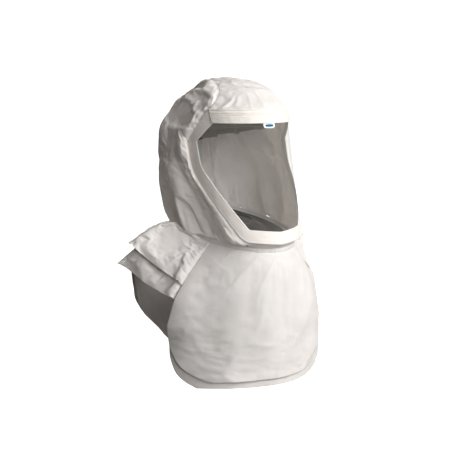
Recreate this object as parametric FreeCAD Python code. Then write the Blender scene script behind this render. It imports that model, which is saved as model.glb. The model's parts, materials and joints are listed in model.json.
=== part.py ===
"""Hood of a powered air respirator: a loose fabric hood with a wide visor and a double shoulder
cape, the head harness that carries it, and the air inlet with its duct over the crown.

Millimetres, +Z up. The wearer looks along -Y, and +X is the wearer's left. The origin is the
middle of the wearer's head at the height of the headband.
"""

import FreeCAD
import Part
import math
import os

V = FreeCAD.Vector
OUT = "parts"

# ---- driving dimensions -------------------------------------------------------------------
FABRIC = 1.2  # thickness of the fabric solids

# Visor: a sheet bent into a leaning half ellipse. Its outline is given flat, as distance from
# the middle line along the sheet, and height.
VISOR_A, VISOR_B = 120.0, 148.0
VISOR_LEAN = 0.19  # the foot stands forward by this share of the height
VISOR_THICK = 0.8
BORDER_OUT, BORDER_THICK = 1.5, 1.2  # outer face off the sheet, and thickness
BORDER_WIDTH = 26.0
BROW_TOP, BROW_FOOT = 37.0, 9.0
BROW_HALF = 125.0  # flat half length of the brow band's top
WIDE_CORNER = (187.0, -30.0)
SIDE_CORNER = (181.0, -90.0)
FOOT_CORNER = (80.0, -226.0)
FOOT_MIDDLE = (0.0, -233.0)

# Hood
HOOD_A = 134.0
HOOD_FRONT, HOOD_BACK = 149.0, 156.0
CROWN_Z = 100.0
CROWN_POWER = 1.8  # lower is more pointed
GIRTH_FRONT_Z, GIRTH_BACK_Z = 0.0, -35.0  # height of the widest girth, in front and behind
NECK_TAPER = 0.90
GUSSET_HALF = 46.0

# Neck line, a tilted ring where the hood is gathered and the cape begins
NECK_A, NECK_B, NECK_Y = 112.0, 153.0, -27.0
NECK_Z, NECK_TILT = -213.0, 30.0
BACK_SEAM = 158.0  # plan angle of the gusset's seams at the neck
CHIN_SEAM = 33.0  # plan angle of the side panels' front ends at the neck
NECK_BAND_HEIGHT = 7.5

# Cape. Plan angles run from straight ahead. The points are for the wearer's left.
CHEST_A, CHEST_FRONT, CHEST_BACK = 210.0, 200.0, 158.0
LAYER_GAP = 4.0
RIM_FRONT_Z, RIM_BACK_Z = -400.0, -300.0  # height where the cloth has turned down
BIB_SIDE, SHOULDER_SEAM, BACK_BIB_SIDE = 66.0, 96.0, 114.0
SHOULDER_TIP = [(230.0, 25.0, -237.0), (243.0, 50.0, -282.0)]  # outer and inner layer

# Head harness, in its own frame, which leans back about the X axis
HARNESS_TILT = -10.0
BAND_R, BAND_Y = 86.0, 12.0  # rear arc, and the place of its centre
BAND_FRONT = 110.0  # depth of the front half ellipse from that centre
BAND_H = 24.0
STRAP_T, STRAP_H = 1.2, 18.0
STRAP_IN_R, STRAP_OUT_R = 86.0, 87.6  # inner faces of the left and right straps
ARM_IN_R = 89.3
TOOTH_MODULE, PINION_TEETH = 1.25, 8
PRESSURE_ANGLE = math.radians(25)
BACKLASH = 0.3
PINION_R = TOOTH_MODULE * PINION_TEETH / 2

# Air inlet
INLET_Z = -62.0
INLET_BORE_R = 16.0
INLET_TUBE_R = 19.0
INLET_FACE_Y = 156.5  # where the port's flange meets the fabric
INLET_LENGTH = 30.0
DUCT_HALF, DUCT_WALL = 30.0, 1.2


# ---- small helpers ------------------------------------------------------------------------
def smooth(x):
    x = max(0.0, min(1.0, x))
    return x * x * (3 - 2 * x)


def mix(a, b, t):
    return a + (b - a) * t


def mirrored(shape):
    return shape.mirror(V(0, 0, 0), V(1, 0, 0))


def save(name, shape):
    solids = shape.Solids
    kept = solids[0] if len(solids) == 1 else Part.makeCompound(solids)
    if not solids or any(not s.isValid() or s.Volume <= 0 for s in solids):
        print("BAD", name, len(solids), [(s.isValid(), s.Volume) for s in solids])
    kept.exportStep(os.path.join(OUT, name + ".step"))


def surface_through(grid):
    made = Part.BSplineSurface()
    made.interpolate(grid)
    return made.toShape()


def grid_normals(grid):
    """Unit normals at a grid's points, by differences along both directions."""
    rows, cols = len(grid), len(grid[0])
    normals = []
    for i in range(rows):
        line = []
        for j in range(cols):
            du = grid[min(i + 1, rows - 1)][j] - grid[max(i - 1, 0)][j]
            dv = grid[i][min(j + 1, cols - 1)] - grid[i][max(j - 1, 0)]
            n = du.cross(dv)
            line.append(n.normalize() if n.Length > 1e-9 else V(0, 0, 1))
        normals.append(line)
    return normals


def ends(edge):
    return edge.valueAt(edge.FirstParameter), edge.valueAt(edge.LastParameter)


def ruled(edge, others):
    """The ruled face from an edge to the one of the others that runs beside it."""
    start, finish = ends(edge)
    ways = []
    for other in others:
        a, b = ends(other)
        same = start.distanceToPoint(a) + finish.distanceToPoint(b)
        crossed = start.distanceToPoint(b) + finish.distanceToPoint(a)
        ways += [(same, 1, other), (crossed, 2, other)]
    best = min(ways, key=lambda w: w[0])
    return Part.makeRuledSurface(edge, best[2], best[1])


def thick_patch(point, rows, cols, thickness, inward=None):
    """A solid sheet over point(u, v), u and v from 0 to 1, thickened towards the point inward."""
    middle = inward or V(0, 0, -60)
    grid = [[point(i / (rows - 1), j / (cols - 1)) for j in range(cols)] for i in range(rows)]
    normals = grid_normals(grid)
    mid_p, mid_n = grid[rows // 2][cols // 2], normals[rows // 2][cols // 2]
    side = -1.0 if mid_n.dot(mid_p - middle) > 0 else 1.0
    inner = [
        [p + n * (side * thickness) for p, n in zip(line, ns)] for line, ns in zip(grid, normals)
    ]
    faces = [surface_through(grid), surface_through(inner)]
    faces += [ruled(edge, faces[1].Edges) for edge in faces[0].Edges]
    shell = Part.makeShell(faces)
    shell.sewShape()
    solid = Part.makeSolid(Part.Shell(shell.Faces))
    if solid.Volume < 0:
        solid.reverse()
    return solid


def trimmed(solid, others):
    """The largest piece of a solid that is left when it is cut clear of the others."""
    return max(solid.cut(others).Solids, key=lambda piece: piece.Volume)


def ellipse_wire(a, b, z, centre_y=0.0):
    """A closed ellipse across the page, a along X and b along Y."""
    if a >= b:
        curve = Part.Ellipse(V(0, centre_y, z), a, b)
    else:
        curve = Part.Ellipse(V(0, centre_y + b, z), V(a, centre_y, z), V(0, centre_y, z))
    return Part.Wire([curve.toShape()])


def turned(profile, degrees, start, centre, axis):
    """The profile face turned about an axis, from a start angle."""
    made = profile.revolve(centre, axis, degrees)
    made.rotate(centre, axis, start)
    return made


def rect_face(points):
    return Part.Face(Part.makePolygon([V(*p) for p in points] + [V(*points[0])]))


def ring_sector(r_in, r_out, z0, z1, from_deg, to_deg, centre):
    """Part of a flat ring about the Z axis at centre. Angles run from +Y towards +X."""
    x, y, z = centre
    face = rect_face([(x, y + r_in, z0), (x, y + r_out, z0), (x, y + r_out, z1), (x, y + r_in, z1)])
    made = face.revolve(V(x, y, z), V(0, 0, 1), -(to_deg - from_deg))
    made.rotate(V(x, y, z), V(0, 0, 1), -from_deg)
    return made


def tube_y(r_in, r_out, y0, y1, z, x=0.0):
    """A tube along Y. r_in of 0 gives a rod."""
    rod = Part.makeCylinder(r_out, y1 - y0, V(x, y0, z), V(0, 1, 0))
    if r_in <= 0:
        return rod
    return rod.cut(Part.makeCylinder(r_in, y1 - y0 + 2, V(x, y0 - 1, z), V(0, 1, 0)))


def box_between(low, high):
    return Part.makeBox(high[0] - low[0], high[1] - low[1], high[2] - low[2], V(*low))


# ---- the visor's sheet --------------------------------------------------------------------
def arc_length(theta, steps=24):
    """Length along the visor's ellipse from the middle line, by Simpson's rule."""
    h = theta / steps
    speed = lambda t: math.hypot(VISOR_A * math.cos(t), VISOR_B * math.sin(t))
    inside = sum((4 if i % 2 else 2) * speed(i * h) for i in range(1, steps))
    return h / 3 * (speed(0) + inside + speed(theta))


def angle_at(length):
    """The visor's angle at a distance along its sheet from the middle line, by Newton's rule."""
    side = -1.0 if length < 0 else 1.0
    length = abs(length)
    theta = length / 135.0
    for _ in range(6):
        speed = math.hypot(VISOR_A * math.cos(theta), VISOR_B * math.sin(theta))
        theta -= (arc_length(theta) - length) / speed
    return side * theta


def on_visor(length, z, out=0.0):
    """A point of the visor's sheet, at a flat place, moved outwards. Positive length is +X."""
    t = angle_at(length)
    return V(
        (VISOR_A + out) * math.sin(t), -(VISOR_B + out) * math.cos(t) + VISOR_LEAN * z, z
    )


def rounded_path(corners, radii, steps=8):
    """Points along straight runs whose inner corners are rounded by the given radii."""
    points = [corners[0]]
    for before, at, after, r in zip(corners, corners[1:], corners[2:], radii):
        a = V(before[0] - at[0], before[1] - at[1], 0).normalize()
        b = V(after[0] - at[0], after[1] - at[1], 0).normalize()
        half = math.acos(max(-1.0, min(1.0, a.dot(b)))) / 2
        reach = r / math.tan(half)
        start, end = V(at[0], at[1], 0) + a * reach, V(at[0], at[1], 0) + b * reach
        centre = V(at[0], at[1], 0) + (a + b).normalize() * (r / math.sin(half))
        for i in range(steps + 1):
            ray = (start - centre) * (1 - i / steps) + (end - centre) * (i / steps)
            p = centre + ray.normalize() * r
            points.append((p.x, p.y))
    points.append(corners[-1])
    return points


def evenly(points, count):
    """The same path as count points at even steps."""
    runs = [math.dist(a, b) for a, b in zip(points, points[1:])]
    total, out, i, gone = sum(runs), [], 0, 0.0
    for k in range(count):
        want = total * k / (count - 1)
        while i < len(runs) - 1 and gone + runs[i] < want:
            gone += runs[i]
            i += 1
        t = min(1.0, (want - gone) / runs[i]) if runs[i] else 0.0
        out.append(tuple(mix(a, b, t) for a, b in zip(points[i], points[i + 1])))
    return out


def inset(points, distance):
    """The path moved towards the visor's middle."""
    out = []
    for i, p in enumerate(points):
        a, b = points[max(i - 1, 0)], points[min(i + 1, len(points) - 1)]
        d = math.dist(a, b)
        n = ((b[1] - a[1]) / d, -(b[0] - a[0]) / d)
        out.append((p[0] + n[0] * distance, p[1] + n[1] * distance))
    return out


def lower_outline(count):
    """Half of the visor's outline, from the wide corner down to the middle of the foot."""
    corners = [WIDE_CORNER, SIDE_CORNER, FOOT_CORNER, FOOT_MIDDLE]
    return evenly(rounded_path(corners, [70.0, 32.0]), count)


def whole_lower_outline(count):
    half = lower_outline(count // 2 + 1)
    return half + [(-x, z) for x, z in half[-2::-1]]


def visor_lens():
    """The clear sheet, which runs 8 mm under its border all round."""
    lap = 8.0
    side = evenly(inset(lower_outline(24)[:20], lap), 24)
    side = evenly([(BROW_HALF - 6, BROW_TOP - lap)] + side, 31)

    def point(u, v):
        half, z = side[round(v * (len(side) - 1))]
        return on_visor((2 * u - 1) * half, z)

    return thick_patch(point, 25, len(side), VISOR_THICK)


def border_strip(path, width):
    """A strip along a flat path, width wide towards the visor's middle, lying on the sheet."""
    inner = inset(path, width)

    def point(u, v):
        i = round(u * (len(path) - 1))
        flat = [mix(a, b, v) for a, b in zip(path[i], inner[i])]
        return on_visor(flat[0], flat[1], BORDER_OUT)

    return thick_patch(point, len(path), 4, BORDER_THICK)


def border_lower():
    return border_strip(whole_lower_outline(53), BORDER_WIDTH)


def border_upper(side):
    """The short slanting strip between the brow band and the widest corner."""
    top, foot = (BROW_HALF - 3.5, BROW_TOP - 3), (WIDE_CORNER[0] - 1, WIDE_CORNER[1] + 4)

    def point(u, v):
        outer = (mix(top[0], foot[0], u), mix(top[1], foot[1], u))
        inner = (outer[0] - BORDER_WIDTH * mix(0.75, 1.0, u), outer[1] - 17 * (1 - u))
        flat = [mix(a, b, v) for a, b in zip(outer, inner)]
        return on_visor(side * flat[0], flat[1], BORDER_OUT)

    return thick_patch(point, 13, 7, BORDER_THICK)


def brow_band():
    """The folded band over the visor's top edge."""

    def point(u, v):
        across = 2 * u - 1
        half = mix(BROW_HALF - 1.5, BROW_HALF - 5, v)
        return on_visor(across * half, mix(BROW_TOP - 0.6, BROW_FOOT, v), 4.3)

    return thick_patch(point, 25, 4, 2.6)


def maker_tab():
    """The plain tab that hangs below the middle of the brow band."""

    def point(u, v):
        half = mix(14.0, 10.0, smooth(v))
        return on_visor((2 * u - 1) * half, mix(BROW_FOOT + 2, BROW_FOOT - 10, v), 1.3)

    return thick_patch(point, 7, 5, 1.0)


# ---- the hood's fabric --------------------------------------------------------------------
def girth_share(angle, z):
    """How much of its full girth the hood has, at a plan angle from straight ahead."""
    back = (1 - math.cos(angle)) / 2
    widest = mix(GIRTH_FRONT_Z, GIRTH_BACK_Z, back)
    if z > widest:
        rise = min(1.0, (z - widest) / (CROWN_Z - widest))
        return math.sqrt(max(1e-6, 1 - rise**CROWN_POWER))
    return mix(1.0, NECK_TAPER, smooth((widest - z) / 200))


def outside(p):
    """Above 1 outside the hood's shape and below 1 inside it."""
    depth = HOOD_FRONT if p.y < 0 else HOOD_BACK
    angle = math.atan2(p.x / HOOD_A, -p.y / depth)
    lean = VISOR_LEAN * min(0.0, p.z) * max(0.0, math.cos(angle))
    if p.z >= CROWN_Z:
        return 2.0
    return math.hypot(p.x / HOOD_A, (p.y - lean) / depth) / girth_share(angle, p.z)


def onto_hood(p):
    """The point of the hood's shape on the ray from the head's middle through p."""
    low, high = 0.05, 4.0
    for _ in range(34):
        middle = (low + high) / 2
        if outside(p * middle) > 1:
            high = middle
        else:
            low = middle
    return p * low


def seam_point(s, side):
    """The seam beside the crown gusset, from the brow's corner over the crown to the nape."""
    start = on_visor(side * BROW_HALF, BROW_TOP, 2.0)
    end = neck_point(side * BACK_SEAM, 1.0, 2.0)
    first = math.atan2(start.z, -start.y)
    last = math.pi + math.atan2(-end.z, end.y)
    a = mix(first, last, s)
    half = mix(abs(start.x), GUSSET_HALF, smooth(s / 0.42))
    raw = onto_hood(V(side * half, -140 * math.cos(a), 140 * math.sin(a)))
    raw = start + (raw - start) * smooth(s / 0.12)
    return raw + (end - raw) * smooth((s - 0.86) / 0.14)


def neck_point(degrees, out=0.0, rise=0.0):
    """The neck line at a plan angle from straight ahead. Positive angles are towards +X."""
    a = math.radians(degrees)
    return V(
        (NECK_A + out) * math.sin(a),
        NECK_Y - (NECK_B + out) * math.cos(a),
        NECK_Z - NECK_TILT * math.cos(a) + rise,
    )


def coons(left, right, top, foot, u, v):
    """A blended patch: left and right run with v, top and foot run with u."""
    ruled_v = left(v) * (1 - u) + right(v) * u
    ruled_u = top(u) * (1 - v) + foot(u) * v
    corner = (
        (left(0) * (1 - u) + right(0) * u) * (1 - v) + (left(1) * (1 - u) + right(1) * u) * v
    )
    return ruled_v + ruled_u - corner


def pushed_out(p, u, v, edge=0.16):
    """p moved onto the hood's shape, less and less towards the patch's edges."""
    weight = smooth(u / edge) * smooth((1 - u) / edge) * smooth((1 - v) / edge)
    return p + (onto_hood(p) - p) * weight


def side_panel(side):
    outline = [(BROW_HALF, BROW_TOP)] + lower_outline(30)[:25]
    outline = inset(evenly(outline, 22), -2.2)
    crown_share = 0.52

    def front(v):
        i = v * (len(outline) - 1)
        k = min(int(i), len(outline) - 2)
        flat = [mix(a, b, i - k) for a, b in zip(outline[k], outline[k + 1])]
        return on_visor(side * flat[0], flat[1], -0.3)

    low_front = front(1.0)
    low_back = seam_point(1.0, side)

    def top(u):
        return seam_point(crown_share * u, side)

    def back(v):
        return seam_point(mix(crown_share, 1.0, v), side)

    def foot(u):
        p = neck_point(side * mix(CHIN_SEAM, BACK_SEAM, u), 1.0, 2.0)
        fix_front = low_front - neck_point(side * CHIN_SEAM, 1.0, 2.0)
        fix_back = low_back - neck_point(side * BACK_SEAM, 1.0, 2.0)
        return p + fix_front * (1 - smooth(u / 0.2)) + fix_back * smooth((u - 0.8) / 0.2)

    def point(u, v):
        return pushed_out(coons(front, back, top, foot, u, v), u, v)

    return thick_patch(point, 17, 19, FABRIC)


def crown_gusset():
    """The centre panel, from the brow over the crown and down to the nape."""

    def front(u):
        return on_visor((2 * u - 1) * BROW_HALF, BROW_TOP, 2.0)

    def foot(u):
        return neck_point(mix(360 - BACK_SEAM, BACK_SEAM, u), 1.0, 2.0)

    def point(u, v):
        p = coons(lambda t: seam_point(t, -1), lambda t: seam_point(t, 1), front, foot, u, v)
        weight = smooth(v / 0.10) * smooth((1 - v) / 0.08)
        weight *= smooth(min(u, 1 - u) / 0.12)
        p = p + (onto_hood(p) - p) * weight
        if p.y > 0:
            flat = 1 - smooth((math.hypot(p.x, p.z - INLET_Z) - 34) / 20)
            p.y = mix(p.y, INLET_FACE_Y - 1.95, flat)
        return p

    cloth = thick_patch(lambda u, v: point(mix(0.02, 0.98, u), v), 15, 37, FABRIC)
    return cloth.cut(tube_y(0, INLET_TUBE_R + 0.1, 120, 190, INLET_Z))


def chin_panel():
    """The strip of cloth between the visor's foot and the neck band."""
    flat = lower_outline(30)[24:]
    flat = flat + [(-x, z) for x, z in flat[-2::-1]]

    def point(u, v):
        i = round(u * (len(flat) - 1))
        top = on_visor(flat[i][0], flat[i][1] + 4, -1.6)
        foot = neck_point(mix(CHIN_SEAM, -CHIN_SEAM, u), 1.0, 2.0)
        return top * (1 - v) + foot * v

    return thick_patch(point, len(flat), 4, FABRIC)


# ---- the cape -----------------------------------------------------------------------------
def chest_point(degrees, way, layer):
    """A point of the cape over the chest or back. way is 0 at the neck line and 1 where the
    cloth has turned down; past that, each 1 is 100 mm of straight fall."""
    a = math.radians(degrees)
    to_side = math.sin(a) ** 2
    front = math.cos(a) > 0
    rim_x = CHEST_A * math.sin(a)
    rim_y = -(CHEST_FRONT if front else CHEST_BACK) * math.cos(a) + 20 * to_side
    neck = neck_point(degrees, -2.0, -8.0)
    fall = neck.z - (RIM_FRONT_Z if front else RIM_BACK_Z)
    roundness = mix(0.9, 0.3, smooth(to_side * 1.6))
    w = min(way, 1.0)
    out = mix(w, math.sin(w * math.pi / 2), roundness)
    down = mix(w, 1 - math.cos(w * math.pi / 2), roundness)
    x, y = mix(neck.x, rim_x, out), mix(neck.y, rim_y, out)
    z = neck.z - fall * down - 100 * max(0.0, way - 1)
    flare = 14 * math.exp(-(((z + 335) / 45) ** 2)) * smooth((to_side - 0.55) / 0.3) if front else 0
    r = math.hypot(x, y)
    shift = (flare - layer * mix(2.2, LAYER_GAP, smooth(way / 0.3))) / r
    return V(x + x * shift, y + y * shift, z - 2.4 * layer)


def path_at(stops, t):
    """A value along a list of (t, value) stops, eased between them."""
    for (t0, a), (t1, b) in zip(stops, stops[1:]):
        if t <= t1:
            return mix(a, b, (t - t0) / (t1 - t0))
    return stops[-1][1]


def bib_panel(layer, middle, side_stops, way_stops, hem_way):
    """A front or back bib. Its side edge is given by stops of angle from the middle, and way."""

    def point(u, v):
        across = 2 * u - 1
        angle, way = path_at(side_stops, v), path_at(way_stops, v)
        blend = across * across
        blend *= blend
        return chest_point(middle + across * angle, mix(hem_way * v, way, blend), layer)

    return thick_patch(point, 23, 21, FABRIC, V(0, 0, -380))


def yoke_panel(side, layer, from_degrees, edge_way):
    """The cape over one shoulder, between a bib's side and the shoulder seam."""
    tip = V(side * SHOULDER_TIP[layer][0], SHOULDER_TIP[layer][1], SHOULDER_TIP[layer][2])
    neck_tip = chest_point(side * SHOULDER_SEAM, 0.0, layer)
    if from_degrees > SHOULDER_SEAM:
        tip += V(side * -0.5, 3.2, 1.5)
    corner = chest_point(side * from_degrees, edge_way, layer)

    def seam(v):
        return neck_tip * (1 - v) + tip * v + V(0, 0, 16 * math.sin(math.pi * v))

    def point(u, v):
        p = coons(
            lambda t: chest_point(side * from_degrees, edge_way * t, layer),
            seam,
            lambda t: chest_point(side * mix(from_degrees, SHOULDER_SEAM, t), 0.0, layer),
            lambda t: corner * (1 - t) + tip * t,
            u,
            v,
        )
        return p + V(0, 0, 10 * math.sin(math.pi * u) * math.sin(math.pi * v))

    return thick_patch(point, 9, 13, FABRIC, V(0, 0, -420))


def bib_front(layer):
    if layer == 0:
        sides = [(0, BIB_SIDE), (0.7, BIB_SIDE), (0.86, 58.0), (1, 41.0)]
        ways = [(0, 0), (0.5, 1.0), (0.7, 1.42), (0.86, 1.86), (1, 2.12)]
        panel = bib_panel(0, 0.0, sides, ways, 2.05)
    else:
        sides = [(0, BIB_SIDE), (0.74, BIB_SIDE), (0.88, 61.0), (1, 48.0)]
        ways = [(0, 0), (0.5, 1.05), (0.74, 1.62), (0.88, 2.02), (1, 2.24)]
        panel = bib_panel(1, 0.0, sides, ways, 2.18)
    yokes = [yoke_panel(side, layer, BIB_SIDE, 0.55 + 0.16 * layer) for side in (-1, 1)]
    return Part.makeCompound([panel] + yokes)


def bib_back(layer):
    half = 180.0 - BACK_BIB_SIDE
    sides = [(0, half), (0.3, half), (0.66, 52.0), (0.88, 35.0), (1, 23.0)]
    ways = [(0, 0), (0.3, 0.8), (0.66, 1.75), (0.88, 2.3), (1, 2.55)]
    panel = bib_panel(layer, 180.0, sides, ways, 2.85 + 0.1 * layer)
    yokes = [yoke_panel(side, layer, BACK_BIB_SIDE, 0.5 + 0.16 * layer) for side in (-1, 1)]
    return Part.makeCompound([panel] + yokes)


def neck_band():
    """The elastic that gathers the hood at the neck, in two halves sewn together."""
    halves = []
    for start in (0, 180):

        def point(u, v):
            return neck_point(mix(start, start + 180, u), -3.0 - FABRIC, mix(4.0, -NECK_BAND_HEIGHT, v))

        halves.append(thick_patch(point, 25, 4, 1.6, V(0, NECK_Y, NECK_Z)))
    return Part.makeCompound(halves)


def neck_seal():
    """The knitted seal, a sloping ring with a hole for the neck, in two halves sewn together."""
    halves = []
    for start in (0, 180):

        def point(u, v):
            a = math.radians(mix(start, start + 180, u))
            rim = neck_point(mix(start, start + 180, u), -7.0, -4.0)
            hole = V(58 * math.sin(a), 8 - 62 * math.cos(a), -196 - 12 * math.cos(a))
            sag = -10 * math.sin(math.pi * v)
            return rim * (1 - v) + hole * v + V(0, 0, sag)

        halves.append(thick_patch(point, 25, 7, 1.2, V(0, 0, -400)))
    return Part.makeCompound(halves)


# ---- the head harness ---------------------------------------------------------------------
def seated(shape):
    """From the harness's own frame into the hood's."""
    made = shape.copy()
    made.rotate(V(0, 0, 0), V(1, 0, 0), HARNESS_TILT)
    return made


CENTRE = (0.0, BAND_Y, 0.0)


def front_band():
    """The front half of the headband, with an arm round each side over the straps."""
    t = 1.6
    outer_a, outer_b = ARM_IN_R + t, BAND_FRONT + t
    ring = Part.Face(ellipse_wire(outer_a, outer_b, 0, BAND_Y)).extrude(V(0, 0, BAND_H))
    hole = Part.Face(ellipse_wire(ARM_IN_R, BAND_FRONT, 0, BAND_Y)).extrude(V(0, 0, BAND_H))
    ring = ring.cut(hole)
    ring.translate(V(0, 0, -BAND_H / 2))
    ring = ring.common(box_between((-200, -200, -50), (200, BAND_Y, 50)))
    ring = ring.cut(Part.makeCylinder(2.05, 240, V(-120, 8, 0), V(1, 0, 0)))
    for low, high in ((-90, -48), (48, 90)):
        half = STRAP_H / 2
        ring = ring.fuse(ring_sector(ARM_IN_R, outer_a, -half, half, low, high, CENTRE))
    for x in (-40.0, 40.0):
        slot = box_between((x - 9, -140, -2), (x + 9, -80, 2))
        ring = ring.cut(slot)
    return ring.removeSplitter()


def sweatband():
    """The foam pad behind the forehead band."""
    a, b = ARM_IN_R - 0.3, BAND_FRONT - 0.3
    pad = Part.Face(ellipse_wire(a, b, 0, BAND_Y)).extrude(V(0, 0, 32))
    pad = pad.cut(Part.Face(ellipse_wire(a - 5, b - 6, 0, BAND_Y)).extrude(V(0, 0, 32)))
    pad.translate(V(0, 0, -16))
    return pad.common(box_between((-200, -200, -50), (200, -40, 50)))


def rack_tooth(pitch_z, points_down, reach_y):
    """One stub tooth of a rack, as a prism along Y through reach_y."""
    tip, root = 0.85, 1.6
    half = math.pi * TOOTH_MODULE / 4 - BACKLASH / 4
    slope = math.tan(PRESSURE_ANGLE)
    sign = -1 if points_down else 1
    outline = [
        (-(half - tip * slope), pitch_z + sign * tip),
        (half - tip * slope, pitch_z + sign * tip),
        (half + root * slope, pitch_z - sign * root),
        (-(half + root * slope), pitch_z - sign * root),
    ]
    face = rect_face([(x, BAND_Y + reach_y - 3, z) for x, z in outline])
    return face.extrude(V(0, 6, 0))


def rack_strap(side, r_in, points_down):
    """A rear strap with a toothed slot. side is -1 for the wearer's right."""
    r_out, half = r_in + STRAP_T, STRAP_H / 2
    per_mm = math.degrees(1 / (r_in + STRAP_T / 2))
    far_end, near_end = 36 * per_mm, 80.0
    low, high = (-near_end, far_end) if side < 0 else (-far_end, near_end)
    strap = ring_sector(r_in, r_out, -half, half, low, high, CENTRE)
    slot_half = 28.5 * per_mm
    top, foot = (6.2, -6.5) if points_down else (6.5, -6.2)
    slot = ring_sector(r_in - 1, r_out + 1, foot, top, -slot_half, slot_half, CENTRE)
    strap = strap.cut(slot)
    ring = ring_sector(r_in, r_out, -half, half, low, high, CENTRE)
    pitch = math.pi * TOOTH_MODULE
    pitch_z = PINION_R if points_down else -PINION_R
    for k in range(-6, 7):
        tooth = rack_tooth(pitch_z, points_down, r_in)
        tooth.rotate(V(*CENTRE), V(0, 0, 1), -k * pitch * per_mm)
        strap = strap.fuse(tooth.common(ring))
    return strap.removeSplitter()


def involute(base, r):
    """The polar angle of an involute at radius r."""
    roll = math.sqrt(max(0.0, (r / base) ** 2 - 1))
    return roll - math.atan(roll)


def pinion():
    """The ratchet's drive gear, whose teeth stand a half pitch off the racks' teeth."""
    base = PINION_R * math.cos(PRESSURE_ANGLE)
    root, tip = PINION_R - 1.15, PINION_R + 0.85
    half = (math.pi * TOOTH_MODULE / 4 - BACKLASH / 4) / PINION_R + involute(base, PINION_R)
    flank = [(root, half)] + [
        (mix(base, tip, i / 5), half - involute(base, mix(base, tip, i / 5))) for i in range(6)
    ]
    y0, y1 = BAND_Y + STRAP_IN_R - 0.25, BAND_Y + STRAP_OUT_R + STRAP_T + 0.5
    points = []
    for k in range(PINION_TEETH):
        middle = 2 * math.pi * (k + 0.5) / PINION_TEETH
        sides = [(r, middle - a) for r, a in flank] + [(r, middle + a) for r, a in flank[::-1]]
        points += [V(r * math.sin(a), y0, r * math.cos(a)) for r, a in sides]
    wire = Part.makePolygon(points + [points[0]])
    gear = Part.Face(wire).extrude(V(0, y1 - y0, 0))
    shaft = tube_y(0, 2.4, y1 - 0.01, BAND_Y + 101, 0)
    nose = tube_y(0, 1.6, y0 - 1.2, y0 + 0.01, 0)
    return gear.fuse([shaft, nose]).removeSplitter()


HOUSING_DEG = 21.0
HOUSING_IN, HOUSING_OUT = 83.6, 92.6


def ratchet_housing():
    """The inner half of the ratchet's case: floor, top and bottom rails for the straps."""
    floor = ring_sector(HOUSING_IN, 85.6, -13, 13, -HOUSING_DEG, HOUSING_DEG, CENTRE)
    rails = [
        ring_sector(85.5, 90.4, low, high, -HOUSING_DEG, HOUSING_DEG, CENTRE)
        for low, high in ((-13, -9.3), (9.3, 13))
    ]
    case = floor.fuse(rails).removeSplitter()
    case = case.cut(tube_y(0, 1.65, BAND_Y + 80, BAND_Y + 88, 0))
    for x, z in screw_places():
        case = case.cut(tube_y(0, 0.9, BAND_Y + 83.4, BAND_Y + 93, z, x))
    return case


def screw_places():
    return [(x, z) for x in (-22.0, 22.0) for z in (-11.1, 11.1)]


def ratchet_cover():
    """The outer half of the ratchet's case, with the knob's boss and a ring of click teeth."""
    cover = ring_sector(90.4, HOUSING_OUT, -13, 13, -HOUSING_DEG, HOUSING_DEG, CENTRE)
    boss = tube_y(0, 12, BAND_Y + 91.5, BAND_Y + 95.4, 0)
    cover = cover.fuse(boss).removeSplitter()
    cover = cover.cut(tube_y(0, 2.45, BAND_Y + 85, BAND_Y + 100, 0))
    recess = tube_y(0, 10, BAND_Y + 93.6, BAND_Y + 97, 0)
    cover = cover.cut(recess)
    clicks = 24
    for k in range(clicks):
        a = 2 * math.pi * k / clicks
        notch = Part.makeCylinder(0.6, 1.9, V(10 * math.sin(a), BAND_Y + 93.6, 10 * math.cos(a)), V(0, 1, 0))
        cover = cover.cut(notch)
    for x, z in screw_places():
        cover = cover.cut(tube_y(0, 1.15, BAND_Y + 85, BAND_Y + 97, z, x))
    return cover


def ratchet_knob():
    """The hand knob, a cup with finger ribs."""
    y0, y1 = BAND_Y + 96.0, BAND_Y + 108.0
    knob = tube_y(0, 17, y0, y1, 0)
    knob = knob.makeFillet(2.0, [e for e in knob.Edges if abs(e.BoundBox.YMin - y1) < 0.01 and e.BoundBox.YLength < 0.01])
    ribs = 16
    for k in range(ribs):
        a = 2 * math.pi * k / ribs
        groove = Part.makeCylinder(1.5, 20, V(17.4 * math.sin(a), y0 - 1, 17.4 * math.cos(a)), V(0, 1, 0))
        knob = knob.cut(groove)
    knob = knob.cut(tube_y(7, 14.2, y0 - 1, y0 + 8, 0))
    return knob.cut(tube_y(0, 2.4, y0 - 1, BAND_Y + 101, 0))


def click_spring():
    """The leaf ring under the knob whose two noses click over the cover's notches."""
    y0, y1 = BAND_Y + 93.9, BAND_Y + 95.2
    hub = tube_y(2.4, 5.2, y0, y1, 0)
    arm = box_between((-8.9, y0, -1.2), (8.9, y1, 1.2)).cut(tube_y(0, 2.4, y0 - 1, y1 + 1, 0))
    return hub.fuse(arm).removeSplitter()


def knob_screw():
    head = tube_y(0, 4.2, BAND_Y + 108.0, BAND_Y + 109.6, 0)
    return head.cut(box_between((-3.2, BAND_Y + 109.0, -0.5), (3.2, BAND_Y + 110, 0.5)))


def housing_screws():
    screws = []
    for x, z in screw_places():
        seat = BAND_Y + math.sqrt(HOUSING_OUT**2 - x * x) + 0.4
        shank = tube_y(0, 0.88, seat - 6.5, seat + 0.01, z, x)
        head = tube_y(0, 1.9, seat, seat + 1.3, z, x)
        screws.append(head.fuse(shank).removeSplitter())
    return Part.makeCompound(screws)


def strap_keepers():
    """A loop on each arm of the front band that the strap slides through."""
    loops = []
    for side in (-1, 1):
        low, high = sorted((side * 49.0, side * 55.0))
        outer = ring_sector(84.4, 92.6, -12, 12, low, high, CENTRE)
        inner = ring_sector(85.6, 91.2, -9.3, 9.3, low - 1, high + 1, CENTRE)
        loops.append(outer.cut(inner))
    return Part.makeCompound(loops)


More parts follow.
